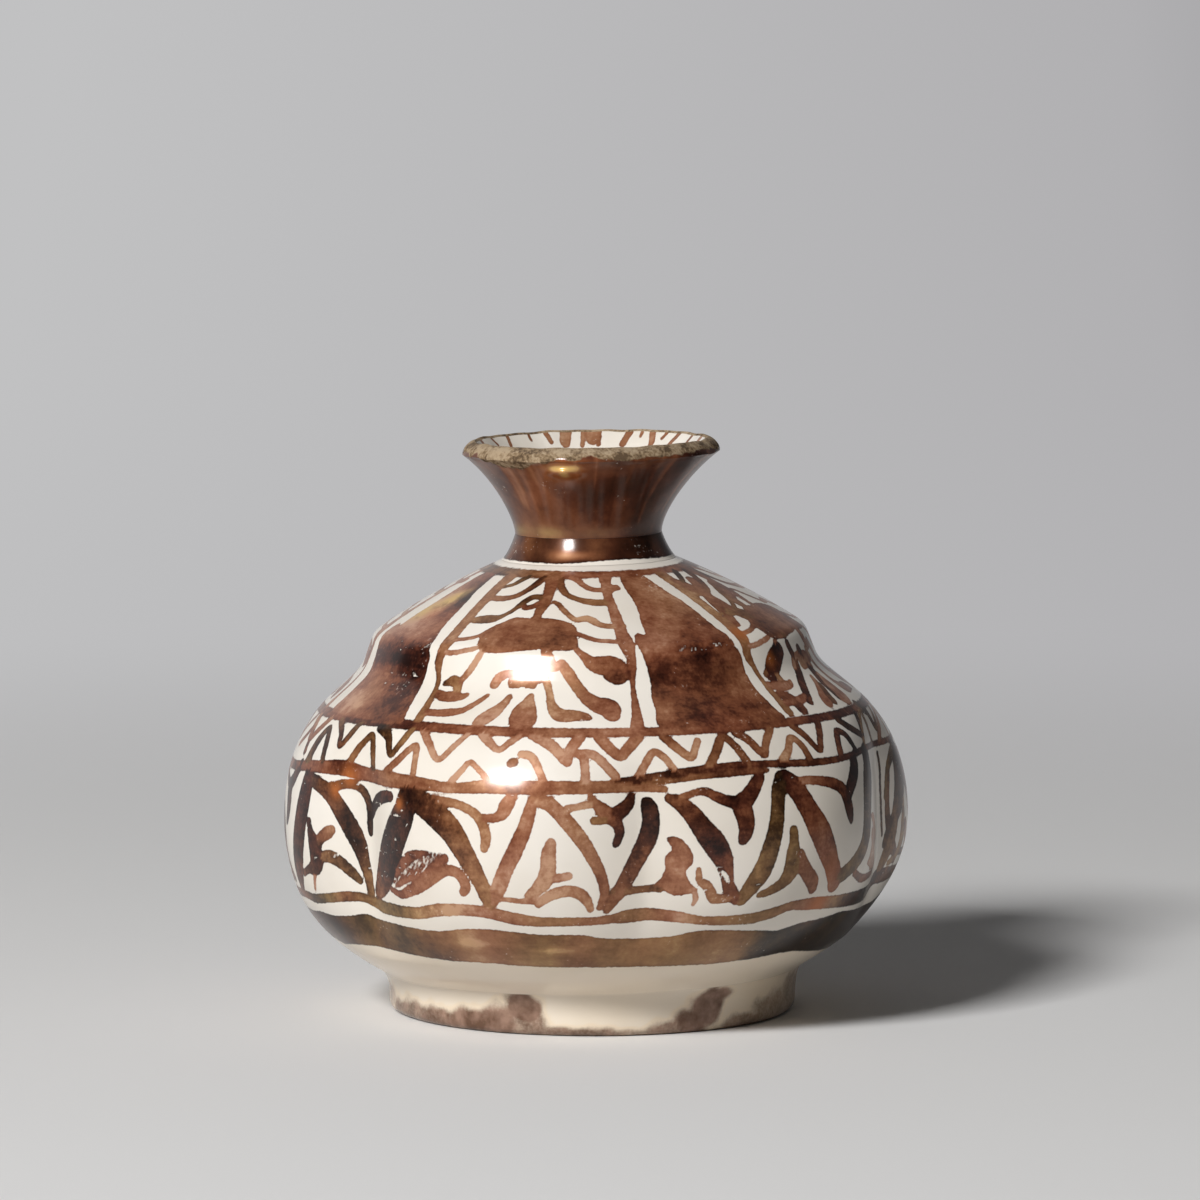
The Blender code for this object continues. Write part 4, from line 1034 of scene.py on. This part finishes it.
LEAF_STROKES = [
    (0.5, 0.15, 0.55, [(-41, 87.3, 0.9), (-37.8, 87.7, 1), (-35.2, 88.6, 1.2), (-33, 89.4, 1.4)]),
    (0.65, 0.25, 0.25, [(-40.6, 85.4, 1.5), (-35.6, 85.4, 1.6), (-31.4, 85.8, 1.4), (-28.3, 86.7, 1.3),
        (-25.7, 87.9, 1.5), (-23.6, 89.3, 1.6)]),
    (0.55, 0.4, 0.45, [(-38.5, 81.7, 1.8), (-35.1, 81.9, 2.4), (-32.5, 82, 2), (-30, 82.5, 1),
        (-27.5, 83.5, 0.9), (-25.6, 84.8, 1.2), (-23.5, 85.7, 1.5), (-21, 85.9, 1.5), (-18.9, 85.7, 1.2)]),
    (0.5, 0.5, 0.05, [(-24.5, 84.4, 0.9), (-22.9, 84, 1.2), (-20.3, 84.4, 1.4), (-18.3, 84.9, 1.6)]),
    (0.8, 0.5, 0.1, [(-39.4, 78.2, 0.8), (-35.5, 78.6, 0.8), (-32.6, 79.2, 0.8), (-30.7, 80.1, 1),
        (-28.8, 80.9, 1)]),
    (0.85, 0.95, 0, [(-42.6, 76.1, 0.9), (-38.7, 75.9, 0.8), (-34.8, 76.4, 0.8), (-31.4, 77, 0.8)]),
    (0.45, 0.6, 0.15, [(-19, 89.3, 3.5), (-17.9, 88.1, 2.4), (-17, 86.1, 1.9), (-17.1, 84.6, 2.2),
        (-17.5, 83.1, 1.4), (-17.4, 81.9, 1.6)]),
    (0.75, 0.75, 0, [(-9.7, 89.2, 1.2), (-5.6, 88.6, 1.1), (-2.5, 87.8, 1), (0.6, 87.2, 1.2),
        (4.6, 87, 1.3), (8.7, 87.1, 1.4)]),
    (0.35, 0.7, 0.3, [(-15.3, 88.9, 1.6), (-12.8, 87.6, 1.3), (-9.6, 86.4, 1.1), (-6.5, 85.8, 1.1),
        (-3.5, 85.4, 1.3), (-0.4, 85.1, 1.7), (2.7, 84.9, 1.8), (6.7, 84.9, 1.8)]),
    (0.65, 0.8, 0.2, [(-13.7, 85.1, 0.7), (-11.6, 84.7, 0.9), (-8.5, 83.5, 0.9), (-5.9, 82.5, 0.9),
        (-3.9, 82.1, 1.3), (-1.3, 82.3, 1.6), (0.7, 82, 1.5), (2.7, 81.3, 1.3), (5.8, 80.9, 1.2),
        (9.8, 80.9, 1.3)]),
    (0.65, 0.9, 0, [(-3.8, 79.8, 0.8), (-1.2, 79.2, 0.9), (1.8, 78.6, 0.9), (4.8, 78.4, 0.9),
        (8.3, 78.2, 1)]),
    (0.75, 0.6, 0.05, [(-7.2, 74.3, 1.6), (-5.3, 72.4, 1.9), (-3.4, 70.2, 1.9), (-1.2, 68.2, 2.3),
        (1.5, 66.8, 3.4), (3.7, 66.2, 4.2), (4.5, 64.9, 2.6)]),
    (0.9, 0.55, 0, [(-3.6, 77.1, 0.9), (-2, 76.1, 1.1), (0.3, 74.5, 2.2), (2.7, 74, 3.2),
        (5.7, 73.8, 3.4), (8.2, 72.9, 2.4), (9.7, 72.1, 1.6)]),
    (0.65, 0.55, 0.05, [(4.5, 72, 1.6), (6.7, 71.2, 1.8), (8.5, 71.9, 1.6)]),
    (0.85, 0.65, 0.1, [(-12.2, 73.2, 1), (-10.9, 71.2, 1.2), (-9.7, 68.6, 1.1), (-8.8, 66.6, 1.6),
        (-6.8, 65.1, 2.8), (-4, 65, 2.5), (-1.7, 64.8, 1.8), (-0.5, 64.5, 0.9)]),
    (0.95, 0.7, 0, [(-14.3, 68.4, 1), (-14.5, 67.2, 2.2), (-14.9, 65.7, 4.2), (-14.9, 64.4, 5)]),
    (0.85, 0.85, 0, [(-19.4, 68.2, 1), (-20.4, 66.8, 1.6), (-22.1, 65.3, 2.6), (-23.7, 64.3, 2.8),
        (-24.7, 63.6, 2)]),
    (0.9, 0.55, 0, [(-25.1, 68.3, 0.7), (-27.2, 66.9, 1), (-29.7, 65.6, 1.3), (-32.8, 65.1, 1.7),
        (-35.8, 64.9, 1.5), (-39.4, 64.9, 1.3)]),
    (0.55, 0.8, 0.05, [(-39.2, 68.3, 1.4), (-36.8, 67.8, 2), (-34.3, 67.8, 2.3), (-31.7, 67.9, 1.4),
        (-30.5, 68.3, 0.7)]),
    (0.45, 0.85, 0.3, [(-38, 70.1, 1), (-36, 70.6, 1.9), (-34.5, 70.2, 1.8), (-33.7, 69, 1.4)]),
    (1, 0.6, 0, [(-29.4, 76, 1), (-31.1, 73.4, 1.1), (-32.8, 71.6, 1), (-33.8, 70.4, 1)]),
    (0.8, 0.65, 0, [(-24.1, 70.3, 1.6), (-23.1, 71.6, 1.6), (-20.7, 72.5, 1.2), (-17.2, 72.6, 1.2),
        (-14.3, 72.2, 1.4), (-12.6, 71.2, 1)]),
    (0.75, 0.8, 0, [(-11.6, 76.8, 1.6), (-10.6, 75.2, 2), (-9.7, 73.8, 1.6), (-7.7, 74.1, 1.4)]),
]
# Rings above the chevrons and under the neck: angle, lower edge, upper edge, tone, olive share.
LINE_ONE = [
    (-180, 61.2, 62.8, 0.45, 0.2), (-90, 61.3, 62.9, 0.45, 0.2), (-45, 61.6, 63.4, 0.3, 0),
    (0.4, 61.1, 62.8, 0.75, 0.05), (59.4, 60.8, 62.3, 0.3, 0), (120, 61.2, 62.8, 0.45, 0.2),
]
NECK_LINE = [
    (-180, 88.9, 90.3, 0.4, 0.2), (-51.6, 89, 90.3, 0.45, 0.5), (-20, 88.8, 90.2, 0.6, 0.05),
    (5.5, 89, 90.1, 0.55, 0), (40.1, 89.1, 90.1, 0.65, 0), (90, 89, 90.4, 0.4, 0.2),
]
# Turns of the four leaf panels and of the dark panel that follows each.
PANEL_TURNS = ((0.0, 0.0), (86.3, 90.0), (180.0, 180.0), (270.0, 272.5))
# Fuller leaves of the panel at the right.
RIGHT_LEAVES = [
    (0.2, 0.2, 0, [(57, 74.3, 3.2), (53, 72, 3.8), (50, 69.8, 2.6)]),
    (0.5, 0.45, 0.1, [(55.1, 87.6, 2.2), (50.2, 84.5, 2.4), (48.6, 81.9, 2.2), (47.7, 79.9, 1.8)]),
    (0.5, 0.5, 0.25, [(65.5, 86.4, 2.4), (62, 84.2, 2.6), (62.2, 82.7, 2.2)]),
    (0.5, 0.5, 0.35, [(54.9, 81.6, 3.4), (60.2, 79.8, 4.2), (63, 77.5, 3)]),
    (0.25, 0.35, 0.1, [(62.9, 75.2, 1.4), (63.7, 70.9, 1.8), (58.8, 67, 1.8), (55.7, 64.5, 1.6)]),
    (0.45, 0.4, 0.1, [(48.8, 66.3, 2.4), (50.9, 65.3, 2.6), (51.1, 63.5, 2.4)]),
    (0.5, 0.5, 0.3, [(66.3, 66.6, 2.2), (64.8, 65.2, 2.8), (64.8, 64, 2.2)]),
    (0.25, 0.3, 0.1, [(68.6, 73.6, 1.8), (70.6, 69.7, 2), (69.6, 67, 2), (69.2, 64.2, 1.8)]),
    (0.5, 0.5, 0.1, [(42, 88, 2.4), (48, 86.3, 2.6), (52, 84, 2.2), (53.5, 82.4, 2)]),
]
# Paler and darker parts of the dark panels: angle, height, half sizes in mm along and up, tone change, and
# olive change where given. The pale golden streak high on the left dark panel, the entries from -69 to
# -58.5 degrees at 82 to 86 mm, is painted sheen.
PANEL_SHADES = [
    (-15, 57, 36, 4, 0.12), (30, 57, 16, 4, 0.08), (-66, 57, 16, 4, -0.25, -0.5), (28, 72, 14, 4, -0.25),
    (28, 64, 13, 3, -0.18), (20, 79, 5, 3, 0.2), (34, 86, 5, 3, 0.25), (26, 82, 4, 3, 0.05),
    (17, 65, 3, 3, 0.2), (29, 75, 3, 1.5, -0.25), (-63, 74, 12, 2.5, -0.45), (-67, 65, 6, 3.5, 0.25),
    (-51, 66, 5, 6, -0.4), (-50, 74, 4, 4, -0.4), (-68, 82, 6, 4, 0.4), (-69, 82, 3, 1.6, 0.4, 0.9),
    (-63, 84.2, 2.6, 1.4, 0.5, 0.9), (-58.5, 85.6, 2, 1.2, 0.4, 0.8), (-66, 64.5, 6, 1.8, 0.15),
    (-55, 86, 3, 3, -0.5), (-58, 78, 4, 1.5, 0.1), (118, 70, 14, 5, -0.3), (140, 80, 6, 4, 0.2),
    (208, 71, 14, 4, -0.3), (196, 82, 6, 4, 0.2),
]
# Rows of flecks worn through the paint: first and last angle, height, number of flecks.
WEAR_LINES = [
    (22, 42, 76.6, 44), (-62, -47, 76.2, 16), (-62, -48, 71.2, 14), (-60, -50, 68.8, 6),
]
# Spots that the kiln flushed orange: angle, height, size in mm and strength. The one at -62 degrees, 82 mm
# adds orange to the painted sheen on the left dark panel.
UPPER_FLUSHES = [
    (45.5, 78.3, 2.0, 0.8), (52.0, 73.0, 1.6, 0.6), (-62.0, 82.0, 2.4, 0.45), (-56.1, 51.4, 2.2, 0.8),
    (-59.9, 48.5, 1.8, 0.8), (-40.0, 47.5, 1.2, 0.8),
]
SHOULDER_SEED = 11


def upper_coats(angle, radius, height):
    """The zigzag's upper part, the chevrons between their lines, and the panels of the shoulder."""
    painting = Painting(angle, height)
    paint_zigzag(painting)
    painting.ring(LINE_ONE)
    painting.ring(NECK_LINE)
    hand = np.random.default_rng(SHOULDER_SEED)
    for stroke in LINE_TWO + CHEVRONS + PEAKS:
        painting.stroke(*stroke)
    for turn, lift in CHEVRON_COPIES:
        for strokes, gap, rise in ((CHEVRONS[1:10], CHEVRON_GAP, 0.0), (PEAKS[1:], PEAK_GAP, lift)):
            for *tones, points in strokes:
                middle = np.mean([point[0] for point in points]) + turn
                if gap[0] < middle < gap[1]:
                    painting.stroke(*tones, turned_stroke(points, turn, rise, hand))
    for leaf_turn, dark_turn in PANEL_TURNS:
        for *tones, points in LEAF_SHAPES:
            painting.patch(*tones, np.array(points, float) + (leaf_turn, 0.0))
        for *tones, points in LEAF_STROKES:
            painting.stroke(*tones, np.array(points, float) + (leaf_turn, 0.0, 0.0))
        *tones, points = DARK_PANEL
        painting.patch(*tones, np.array(points, float) + (dark_turn, 0.0))
    for stroke in RIGHT_LEAVES:
        painting.stroke(*stroke)
    for start, end, rise, count in WEAR_LINES:
        for turn in hand.uniform(start, end, count):
            length = hand.uniform(0.3, 1.3)
            lift = rise + hand.normal(0.0, 0.5)
            wide = hand.uniform(0.05, 0.3)
            fall = hand.uniform(-0.2, 0.2)
            painting.scratch([(turn, lift, wide), (turn + length, lift + fall, 0.5 * wide)])
    for shade in PANEL_SHADES + LEG_SHADES:
        painting.shade(*shade)
    for flush in UPPER_FLUSHES:
        painting.spot(*flush)
    return outside_only(painting.coats(), radius, height)


HOLE_RADIUS = 13.5
UPPER_ROW = 0.61
shoulder_wall = np.vstack((ridge_round, shoulder_slope[1:]))
upper_wall = np.vstack((belly_wall, shoulder_wall))
upper_inside = even_rows(inner_rows(upper_wall, BELLY, NECK_SEAT), INSIDE_ROW)[::-1]
hole_foot = upper_inside[0][1] + 0.5 * (upper_inside[0][0] - HOLE_RADIUS)
notch_run = np.vstack((belly_wall, ridge_round))
upper_sections = [
    ([(BELLY_RADIUS - JOINT_STEP, BELLY)], BODY_COLUMNS),
    (even_rows(notch_run, UPPER_ROW), BODY_COLUMNS),
    (even_rows(shoulder_slope, UPPER_ROW)[1:], BODY_COLUMNS // 2),
    ([(HOLE_RADIUS, NECK_SEAT), (HOLE_RADIUS, hole_foot), *upper_inside], BODY_COLUMNS // 2),
    ([(BELLY_RADIUS - BODY_WALL, BELLY)], BODY_COLUMNS // 2),
]
upper_body = turned_piece("upper_body", upper_sections, lobed_wall, upper_coats)
upper_body.data.materials.append(glaze)

# Neck slip bead
# A bead of slip pressed round the spigot, under the shoulder, to seal the neck joint.
# It keeps the dull grainy look of dried slip.
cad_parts["neck_slip_bead"].data.materials.clear()
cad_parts["neck_slip_bead"].data.materials.append(slip)

# Neck collar
# A coil of paste turned to a hollow fillet round the neck joint. It is glazed and brushed dark all round,
# with a ring of white left at its foot, and a painted highlight left of the front.
COLLAR_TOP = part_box("neck_collar")[1].z / MM
COLLAR_RADIUS = 14.8
COLLAR_COLUMNS = 300
COLLAR_ROW = 0.3
WHITE_RING_TOP = 91.6
# Place of the painted highlight on the collar: a paler patch that stands in for the lamp's glint.
COLLAR_HIGHLIGHT_TURN = -13.0
COLLAR_HIGHLIGHT_RISE = 92.9
NECK_WOBBLE = 0.4
collar_foot = NECK_SEAT + 0.05
collar_brim = COLLAR_TOP + 0.15
collar_hollow = cubic(
    (NECK_FOOT_RADIUS, collar_foot),
    (NECK_FOOT_RADIUS - 0.6, collar_foot + 0.4),
    (COLLAR_RADIUS + 0.8, COLLAR_TOP - 2.4),
    (COLLAR_RADIUS, collar_brim),
    30,
)


def neck_wall(angle, radius, height):
    """The collar's wall, which is truer than the body's and leans with it."""
    return leaning(turned_places(angle, radius + NECK_WOBBLE * hand_wobble(angle, height), height))


def collar_coats(angle, radius, height):
    """Dark lustre above the white ring, with a painted highlight as a paler patch left of the front."""
    turn = np.radians(angle)
    lift = 0.25 * np.sin(2 * turn + 0.4) + 0.12 * np.sin(5 * turn)
    tone = 0.16 + 0.1 * np.sin(5 * turn + 1.0) + 0.06 * np.sin(13 * turn)
    # Painted highlight: the tone rises in a patch left of the front.
    tone += 0.6 * soft_spot((angle - COLLAR_HIGHLIGHT_TURN, 15.0), (height - COLLAR_HIGHLIGHT_RISE, 0.9))
    return {"lustre_mm": WHITE_RING_TOP + lift - height, "tone": tone, "brushed": np.full(len(angle), 0.25)}


collar_sections = [
    (even_rows(collar_hollow, COLLAR_ROW), COLLAR_COLUMNS),
    ([(HOLE_RADIUS, collar_brim), (HOLE_RADIUS, collar_foot)], COLLAR_COLUMNS),
]
collar = turned_piece("neck_collar", collar_sections, neck_wall, collar_coats)
collar.data.materials.append(glaze)

# Mouth funnel
# A flared funnel thrown by itself, with a spigot that drops through the collar. Lustre covers its
# outside, brushed strokes ring its white inside, and the glaze has worn off the bevelled lip.
SPIGOT_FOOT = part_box("mouth_funnel")[0].z / MM
LIP_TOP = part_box("mouth_funnel")[1].z / MM + 0.2
MOUTH_RADIUS = 25.9
MOUTH_EDGE = LIP_TOP - 2.6
LIP_RADIUS = 23.4
SPIGOT_RADIUS = 13.2
BORE_RADIUS = 9.8
FUNNEL_WALL = 3.4
MOUTH_COLUMNS = 420
THROAT_PULL = 3.0
FLARE_PULL = 8.5
FLARE_SLOPE = math.radians(37)
funnel_foot = COLLAR_TOP + 0.2
flare_radius = MOUTH_RADIUS - FLARE_PULL * math.cos(FLARE_SLOPE)
flare_height = MOUTH_EDGE - FLARE_PULL * math.sin(FLARE_SLOPE)
funnel_outside = cubic(
    (COLLAR_RADIUS, funnel_foot),
    (COLLAR_RADIUS, funnel_foot + THROAT_PULL),
    (flare_radius, flare_height),
    (MOUTH_RADIUS, MOUTH_EDGE),
)
funnel_inside = cubic(
    (LIP_RADIUS, LIP_TOP),
    (flare_radius - FUNNEL_WALL, flare_height),
    (BORE_RADIUS, funnel_foot + THROAT_PULL),
    (BORE_RADIUS, funnel_foot),
)
lip_bevel = cubic(
    (MOUTH_RADIUS, MOUTH_EDGE),
    (MOUTH_RADIUS + 0.1, MOUTH_EDGE + 0.9),
    (LIP_RADIUS + 1.0, LIP_TOP + 0.1),
    (LIP_RADIUS, LIP_TOP),
)
# Strokes that hang from the lip inside the mouth: angle, width, length and slant in mm.
LIP_DASHES = [
    (-104, 1.4, 2, 0.5), (-118, 0.9, 1.2, -0.5), (-132, 1, 2, 1), (-146, 0.7, 1, 0),
    (-156, 1.2, 1.6, -0.6), (-167, 2.6, 1.6, 0.6), (-176, 1.1, 2.4, 0.4), (179, 3.2, 0.9, 0),
    (176, 1.2, 2.2, 0), (160, 1.8, 2, 0.8), (153, 0.8, 0.8, 0), (147, 1.6, 2, -1), (138, 1, 0.9, 0.4),
    (129, 1.4, 1.8, 0.8), (117, 1, 1.4, 0), (104, 1.6, 2, -0.6), (88, 1.2, 1.6, 0.6), (70, 1.8, 2.2, 0),
    (52, 1.2, 1.4, 0.6), (33, 2, 2.2, -0.8), (15, 1, 1.6, 0), (-4, 2.2, 2, 0.6), (-22, 1.2, 2.4, 0),
    (-41, 1.8, 1.6, -0.6), (-60, 1.4, 2.2, 0.5), (-84, 2, 1.8, 0),
]
DASH_TOP = LIP_TOP - 0.5
# Runs of thicker lustre down the outside, and the drop where the glaze gathered under the rim.
# The drop also carries a painted highlight in gold.
DRIP_COUNT = 70
DRIP_SEED = 5
DROP_TURN = -12.5
DROP_RISE = 110.2
DROP_HEIGHT = 2.0
GILT_RISE = 97.3
# Depth in the wall, in mm, up to which a vertex belongs to the outer face, to the outside, and to the lip.
FACE_DEPTH = 0.1
OUTSIDE_DEPTH = 1.5
LIP_DEPTH = 4.0


def funnel_depth(radius, height):
    """How far a place lies inside the funnel's outer face, in mm."""
    return np.interp(height, funnel_outside[:, 1], funnel_outside[:, 0]) - radius


def funnel_wall(angle, radius, height):
    """The funnel's wall, with its nibbled lip and the thick drop where the glaze gathered under it."""
    turn = np.radians(angle)
    chip = 0.10 * np.sin(11 * turn + 1.0) * np.sin(4 * turn) + 0.05 * np.sin(23 * turn + 2.0)
    nibble = np.where(height > MOUTH_EDGE - 0.6, chip, 0.0)
    along = np.radians(angle - DROP_TURN) * MOUTH_RADIUS
    drop = DROP_HEIGHT * soft_spot((along, 2.8), (height - DROP_RISE, 0.95))
    worn = radius + NECK_WOBBLE * hand_wobble(angle, height) - 0.5 * np.abs(nibble)
    worn += np.where(funnel_depth(radius, height) < FACE_DEPTH, drop, 0.0)
    return leaning(turned_places(angle, worn, height + nibble))


def funnel_coats(angle, radius, height):
    """Lustre with runs, gilding and a painted gold highlight outside, dashes inside, bare paste on the worn
    lip.
    """
    turn = np.radians(angle)
    depth = funnel_depth(radius, height)
    outside = depth < OUTSIDE_DEPTH
    dashes = np.full(len(angle), NO_PAINT)
    for middle, width, length, slant in LIP_DASHES:
        down = part_way(height, DASH_TOP, DASH_TOP - length)
        along = np.radians(turn_from(angle, middle)) * LIP_RADIUS - slant * down
        reach = np.hypot(along, height - (DASH_TOP - down * length))
        dashes = np.minimum(dashes, reach - 0.5 * width)
    ragged = 0.25 * np.sin(7 * turn + 0.5) + 0.12 * np.sin(17 * turn) + 0.1 * np.sin(29 * turn + 2)
    flaked = 2.6 * soft_spot((angle + 40.0, 16.0)) + 0.5 * soft_spot((angle - 12.0, 9.0))
    bare_mm = np.where(depth < LIP_DEPTH, (MOUTH_EDGE + 0.8 + ragged - flaked) - height, NO_PAINT)
    bare_mm = np.where((depth > OUTSIDE_DEPTH) & (height < DASH_TOP), NO_PAINT, bare_mm)
    tone = np.interp(angle, (-90, -30, 0, 30, 90), (0.36, 0.36, 0.28, 0.22, 0.22))
    hand = np.random.default_rng(DRIP_SEED)
    for _ in range(DRIP_COUNT):
        middle = hand.uniform(-180.0, 180.0)
        wide = hand.uniform(0.6, 1.8)
        foot = hand.uniform(97.0, 109.0)
        change = hand.uniform(-0.1, 0.24)
        tone += change * soft_spot((turn_from(angle, middle), wide)) * part_way(height, foot, foot + 1.5)
    gilt = soft_spot((height - GILT_RISE, 1.3)) * (0.5 - 0.5 * np.sin(turn + 0.2))
    gilt *= 0.7 + 0.3 * np.sin(9 * turn)
    along = np.radians(angle - DROP_TURN) * MOUTH_RADIUS
    # Painted highlight: a bright gold bar and bead on the glaze drop, standing in for the lamp's glint on
    # it.
    highlight_bar = np.exp(-((along / 3.6) ** 4)) * soft_spot((height - DROP_RISE - 0.8, 0.8))
    bead = soft_spot((along, 1.3), (height - DROP_RISE + 0.4, 0.9))
    gold = np.maximum(highlight_bar, bead)
    flush = 0.7 * soft_spot((along, 5.0), (height - DROP_RISE, 2.2)) * (1.0 - gold)
    return {
        "lustre_mm": np.where(outside, height - MOUTH_EDGE - 1.6, dashes),
        "bare_mm": bare_mm,
        # The gold terms in tone and olive are the painted highlight on the drop.
        "tone": np.where(outside, tone + 0.3 * gilt + 0.9 * gold, 0.72),
        "olive": 0.1 + 0.8 * gilt + 0.9 * gold,
        "flush": np.where(depth < FACE_DEPTH, flush, 0.0),
        "brushed": np.where(outside, 0.25, 0.6),
    }


spigot = [(BORE_RADIUS, SPIGOT_FOOT), (SPIGOT_RADIUS, SPIGOT_FOOT), (SPIGOT_RADIUS, funnel_foot)]
funnel_sections = [
    (even_rows(funnel_outside, 0.35), MOUTH_COLUMNS),
    (even_rows(lip_bevel, 0.3)[1:], MOUTH_COLUMNS),
    (even_rows(funnel_inside, 0.5)[1:], MOUTH_COLUMNS),
    (spigot, MOUTH_COLUMNS),
]
funnel = turned_piece("mouth_funnel", funnel_sections, funnel_wall, funnel_coats)
funnel.data.materials.append(glaze)

# Floor, light and camera
# The vessel stands on a wide sweep of pale grey paper, lit by one soft lamp from the front left and by
# the room around it.
SWEEP_START = 1.6
SWEEP_RADIUS = 1.0
PAPER_FRONT = -4.0
PAPER_HALF_WIDTH = 5.0
PAPER_HEIGHT = 4.0
bends = np.radians(np.linspace(0.0, 90.0, 25))
curve = SWEEP_RADIUS * np.column_stack((np.sin(bends), 1.0 - np.cos(bends))) + (SWEEP_START, 0.0)
sweep = np.vstack(((PAPER_FRONT, 0.0), curve, (SWEEP_START + SWEEP_RADIUS, PAPER_HEIGHT)))
floor_mesh = bpy.data.meshes.new("paper_floor")
floor_mesh.from_pydata(
    [(side * PAPER_HALF_WIDTH, along, rise) for along, rise in sweep for side in (-1, 1)],
    [],
    [(2 * row, 2 * row + 1, 2 * row + 3, 2 * row + 2) for row in range(len(sweep) - 1)],
)
floor_mesh.shade_smooth()
floor = bpy.data.objects.new("paper_floor", floor_mesh)
bpy.context.collection.objects.link(floor)

# Matt grey paper. Near the foot the eye sees it take the vessel's shadow. Farther off, the camera and
# reflections see an even grey glow, with painted shade that darkens it towards the right.
PAPER_GREY = "#e2e1e0"
BACKDROP_SHADE_STOPS = [(0.0, "#c1c1c2"), (0.33, "#b1b0b2"), (0.42, "#9c9c9e"), (1.0, "#58585a")]
BACKDROP_LEFT = -0.25
BACKDROP_RIGHT = 1.25
FADE_START = 0.18
FADE_END = 0.75
paper = bpy.data.materials.new("grey_paper")
paper.use_nodes = True
tree = paper.node_tree
shader = tree.nodes["Principled BSDF"]
shader.inputs["Base Color"].default_value = hex_colour(PAPER_GREY)
shader.inputs["Roughness"].default_value = 0.9
shader.inputs["Specular IOR Level"].default_value = 0.1
path = add_node(tree, "LightPath").outputs
seen = add_node(
    tree, "Math", {"operation": "MAXIMUM"}, [path["Is Camera Ray"], path["Is Glossy Ray"]]
).outputs[0]
place = add_node(tree, "TexCoord").outputs["Object"]
away = add_node(tree, "VectorMath", {"operation": "LENGTH"}, [place]).outputs["Value"]
far = add_node(tree, "MapRange", SMOOTH, [away, FADE_START, FADE_END, 0.0, 1.0]).outputs[0]
far = add_node(tree, "Math", TIMES, [far, seen]).outputs[0]
across = add_node(tree, "SeparateXYZ", {}, [place]).outputs["X"]
# Painted shade: the backdrop's glow falls from grey at the left to dark at the right.
side = add_node(tree, "MapRange", {}, [across, BACKDROP_LEFT, BACKDROP_RIGHT, 0.0, 1.0]).outputs[0]
backdrop = add_node(tree, "ValToRGB", {"stops": BACKDROP_SHADE_STOPS}, [side]).outputs["Color"]
glow = add_node(tree, "Emission", {}, {"Color": backdrop, "Strength": 1.0})
mixed = add_node(tree, "MixShader", {}, [far, shader.outputs[0], glow.outputs[0]])
tree.links.new(mixed.outputs[0], tree.nodes["Material Output"].inputs["Surface"])
floor.data.materials.append(paper)

LAMP_DISTANCE = 2.6
LAMP_TURN = math.radians(-35)
LAMP_RISE = math.radians(35.5)
LAMP_AIM = 0.06
lamp_data = bpy.data.lights.new("soft_lamp", "AREA")
lamp_data.shape = "RECTANGLE"
lamp_data.size = 0.68
lamp_data.size_y = 0.5
lamp_data.energy = 73.0
lamp = bpy.data.objects.new("soft_lamp", lamp_data)
lamp.location = (
    LAMP_DISTANCE * math.cos(LAMP_RISE) * math.sin(LAMP_TURN),
    -LAMP_DISTANCE * math.cos(LAMP_RISE) * math.cos(LAMP_TURN),
    LAMP_DISTANCE * math.sin(LAMP_RISE) + LAMP_AIM,
)
lamp.rotation_euler = (math.pi / 2 - LAMP_RISE, 0.0, LAMP_TURN)
bpy.context.collection.objects.link(lamp)

ceiling_data = bpy.data.lights.new("ceiling_light", "AREA")
ceiling_data.size = 2.0
ceiling_data.energy = 1.2
ceiling = bpy.data.objects.new("ceiling_light", ceiling_data)
ceiling.location = (0.0, 0.0, 2.2)
bpy.context.collection.objects.link(ceiling)

world = bpy.data.worlds.new("room")
world.use_nodes = True
world.node_tree.nodes["Background"].inputs["Color"].default_value = hex_colour("#c8c8ca")
world.node_tree.nodes["Background"].inputs["Strength"].default_value = 0.05
bpy.context.scene.world = world

CAMERA_PLACE = (0.0011, -1.6, 0.242)
CAMERA_PITCH = math.radians(5.695)
camera_data = bpy.data.cameras.new("camera")
camera_data.lens = 239.96
camera_data.sensor_width = 36.0
camera_data.clip_start = 0.05
camera = bpy.data.objects.new("camera", camera_data)
camera.location = CAMERA_PLACE
camera.rotation_euler = (math.pi / 2 - CAMERA_PITCH, 0.0, 0.0)
bpy.context.collection.objects.link(camera)
bpy.context.scene.camera = camera
bpy.context.scene.view_settings.view_transform = "Standard"
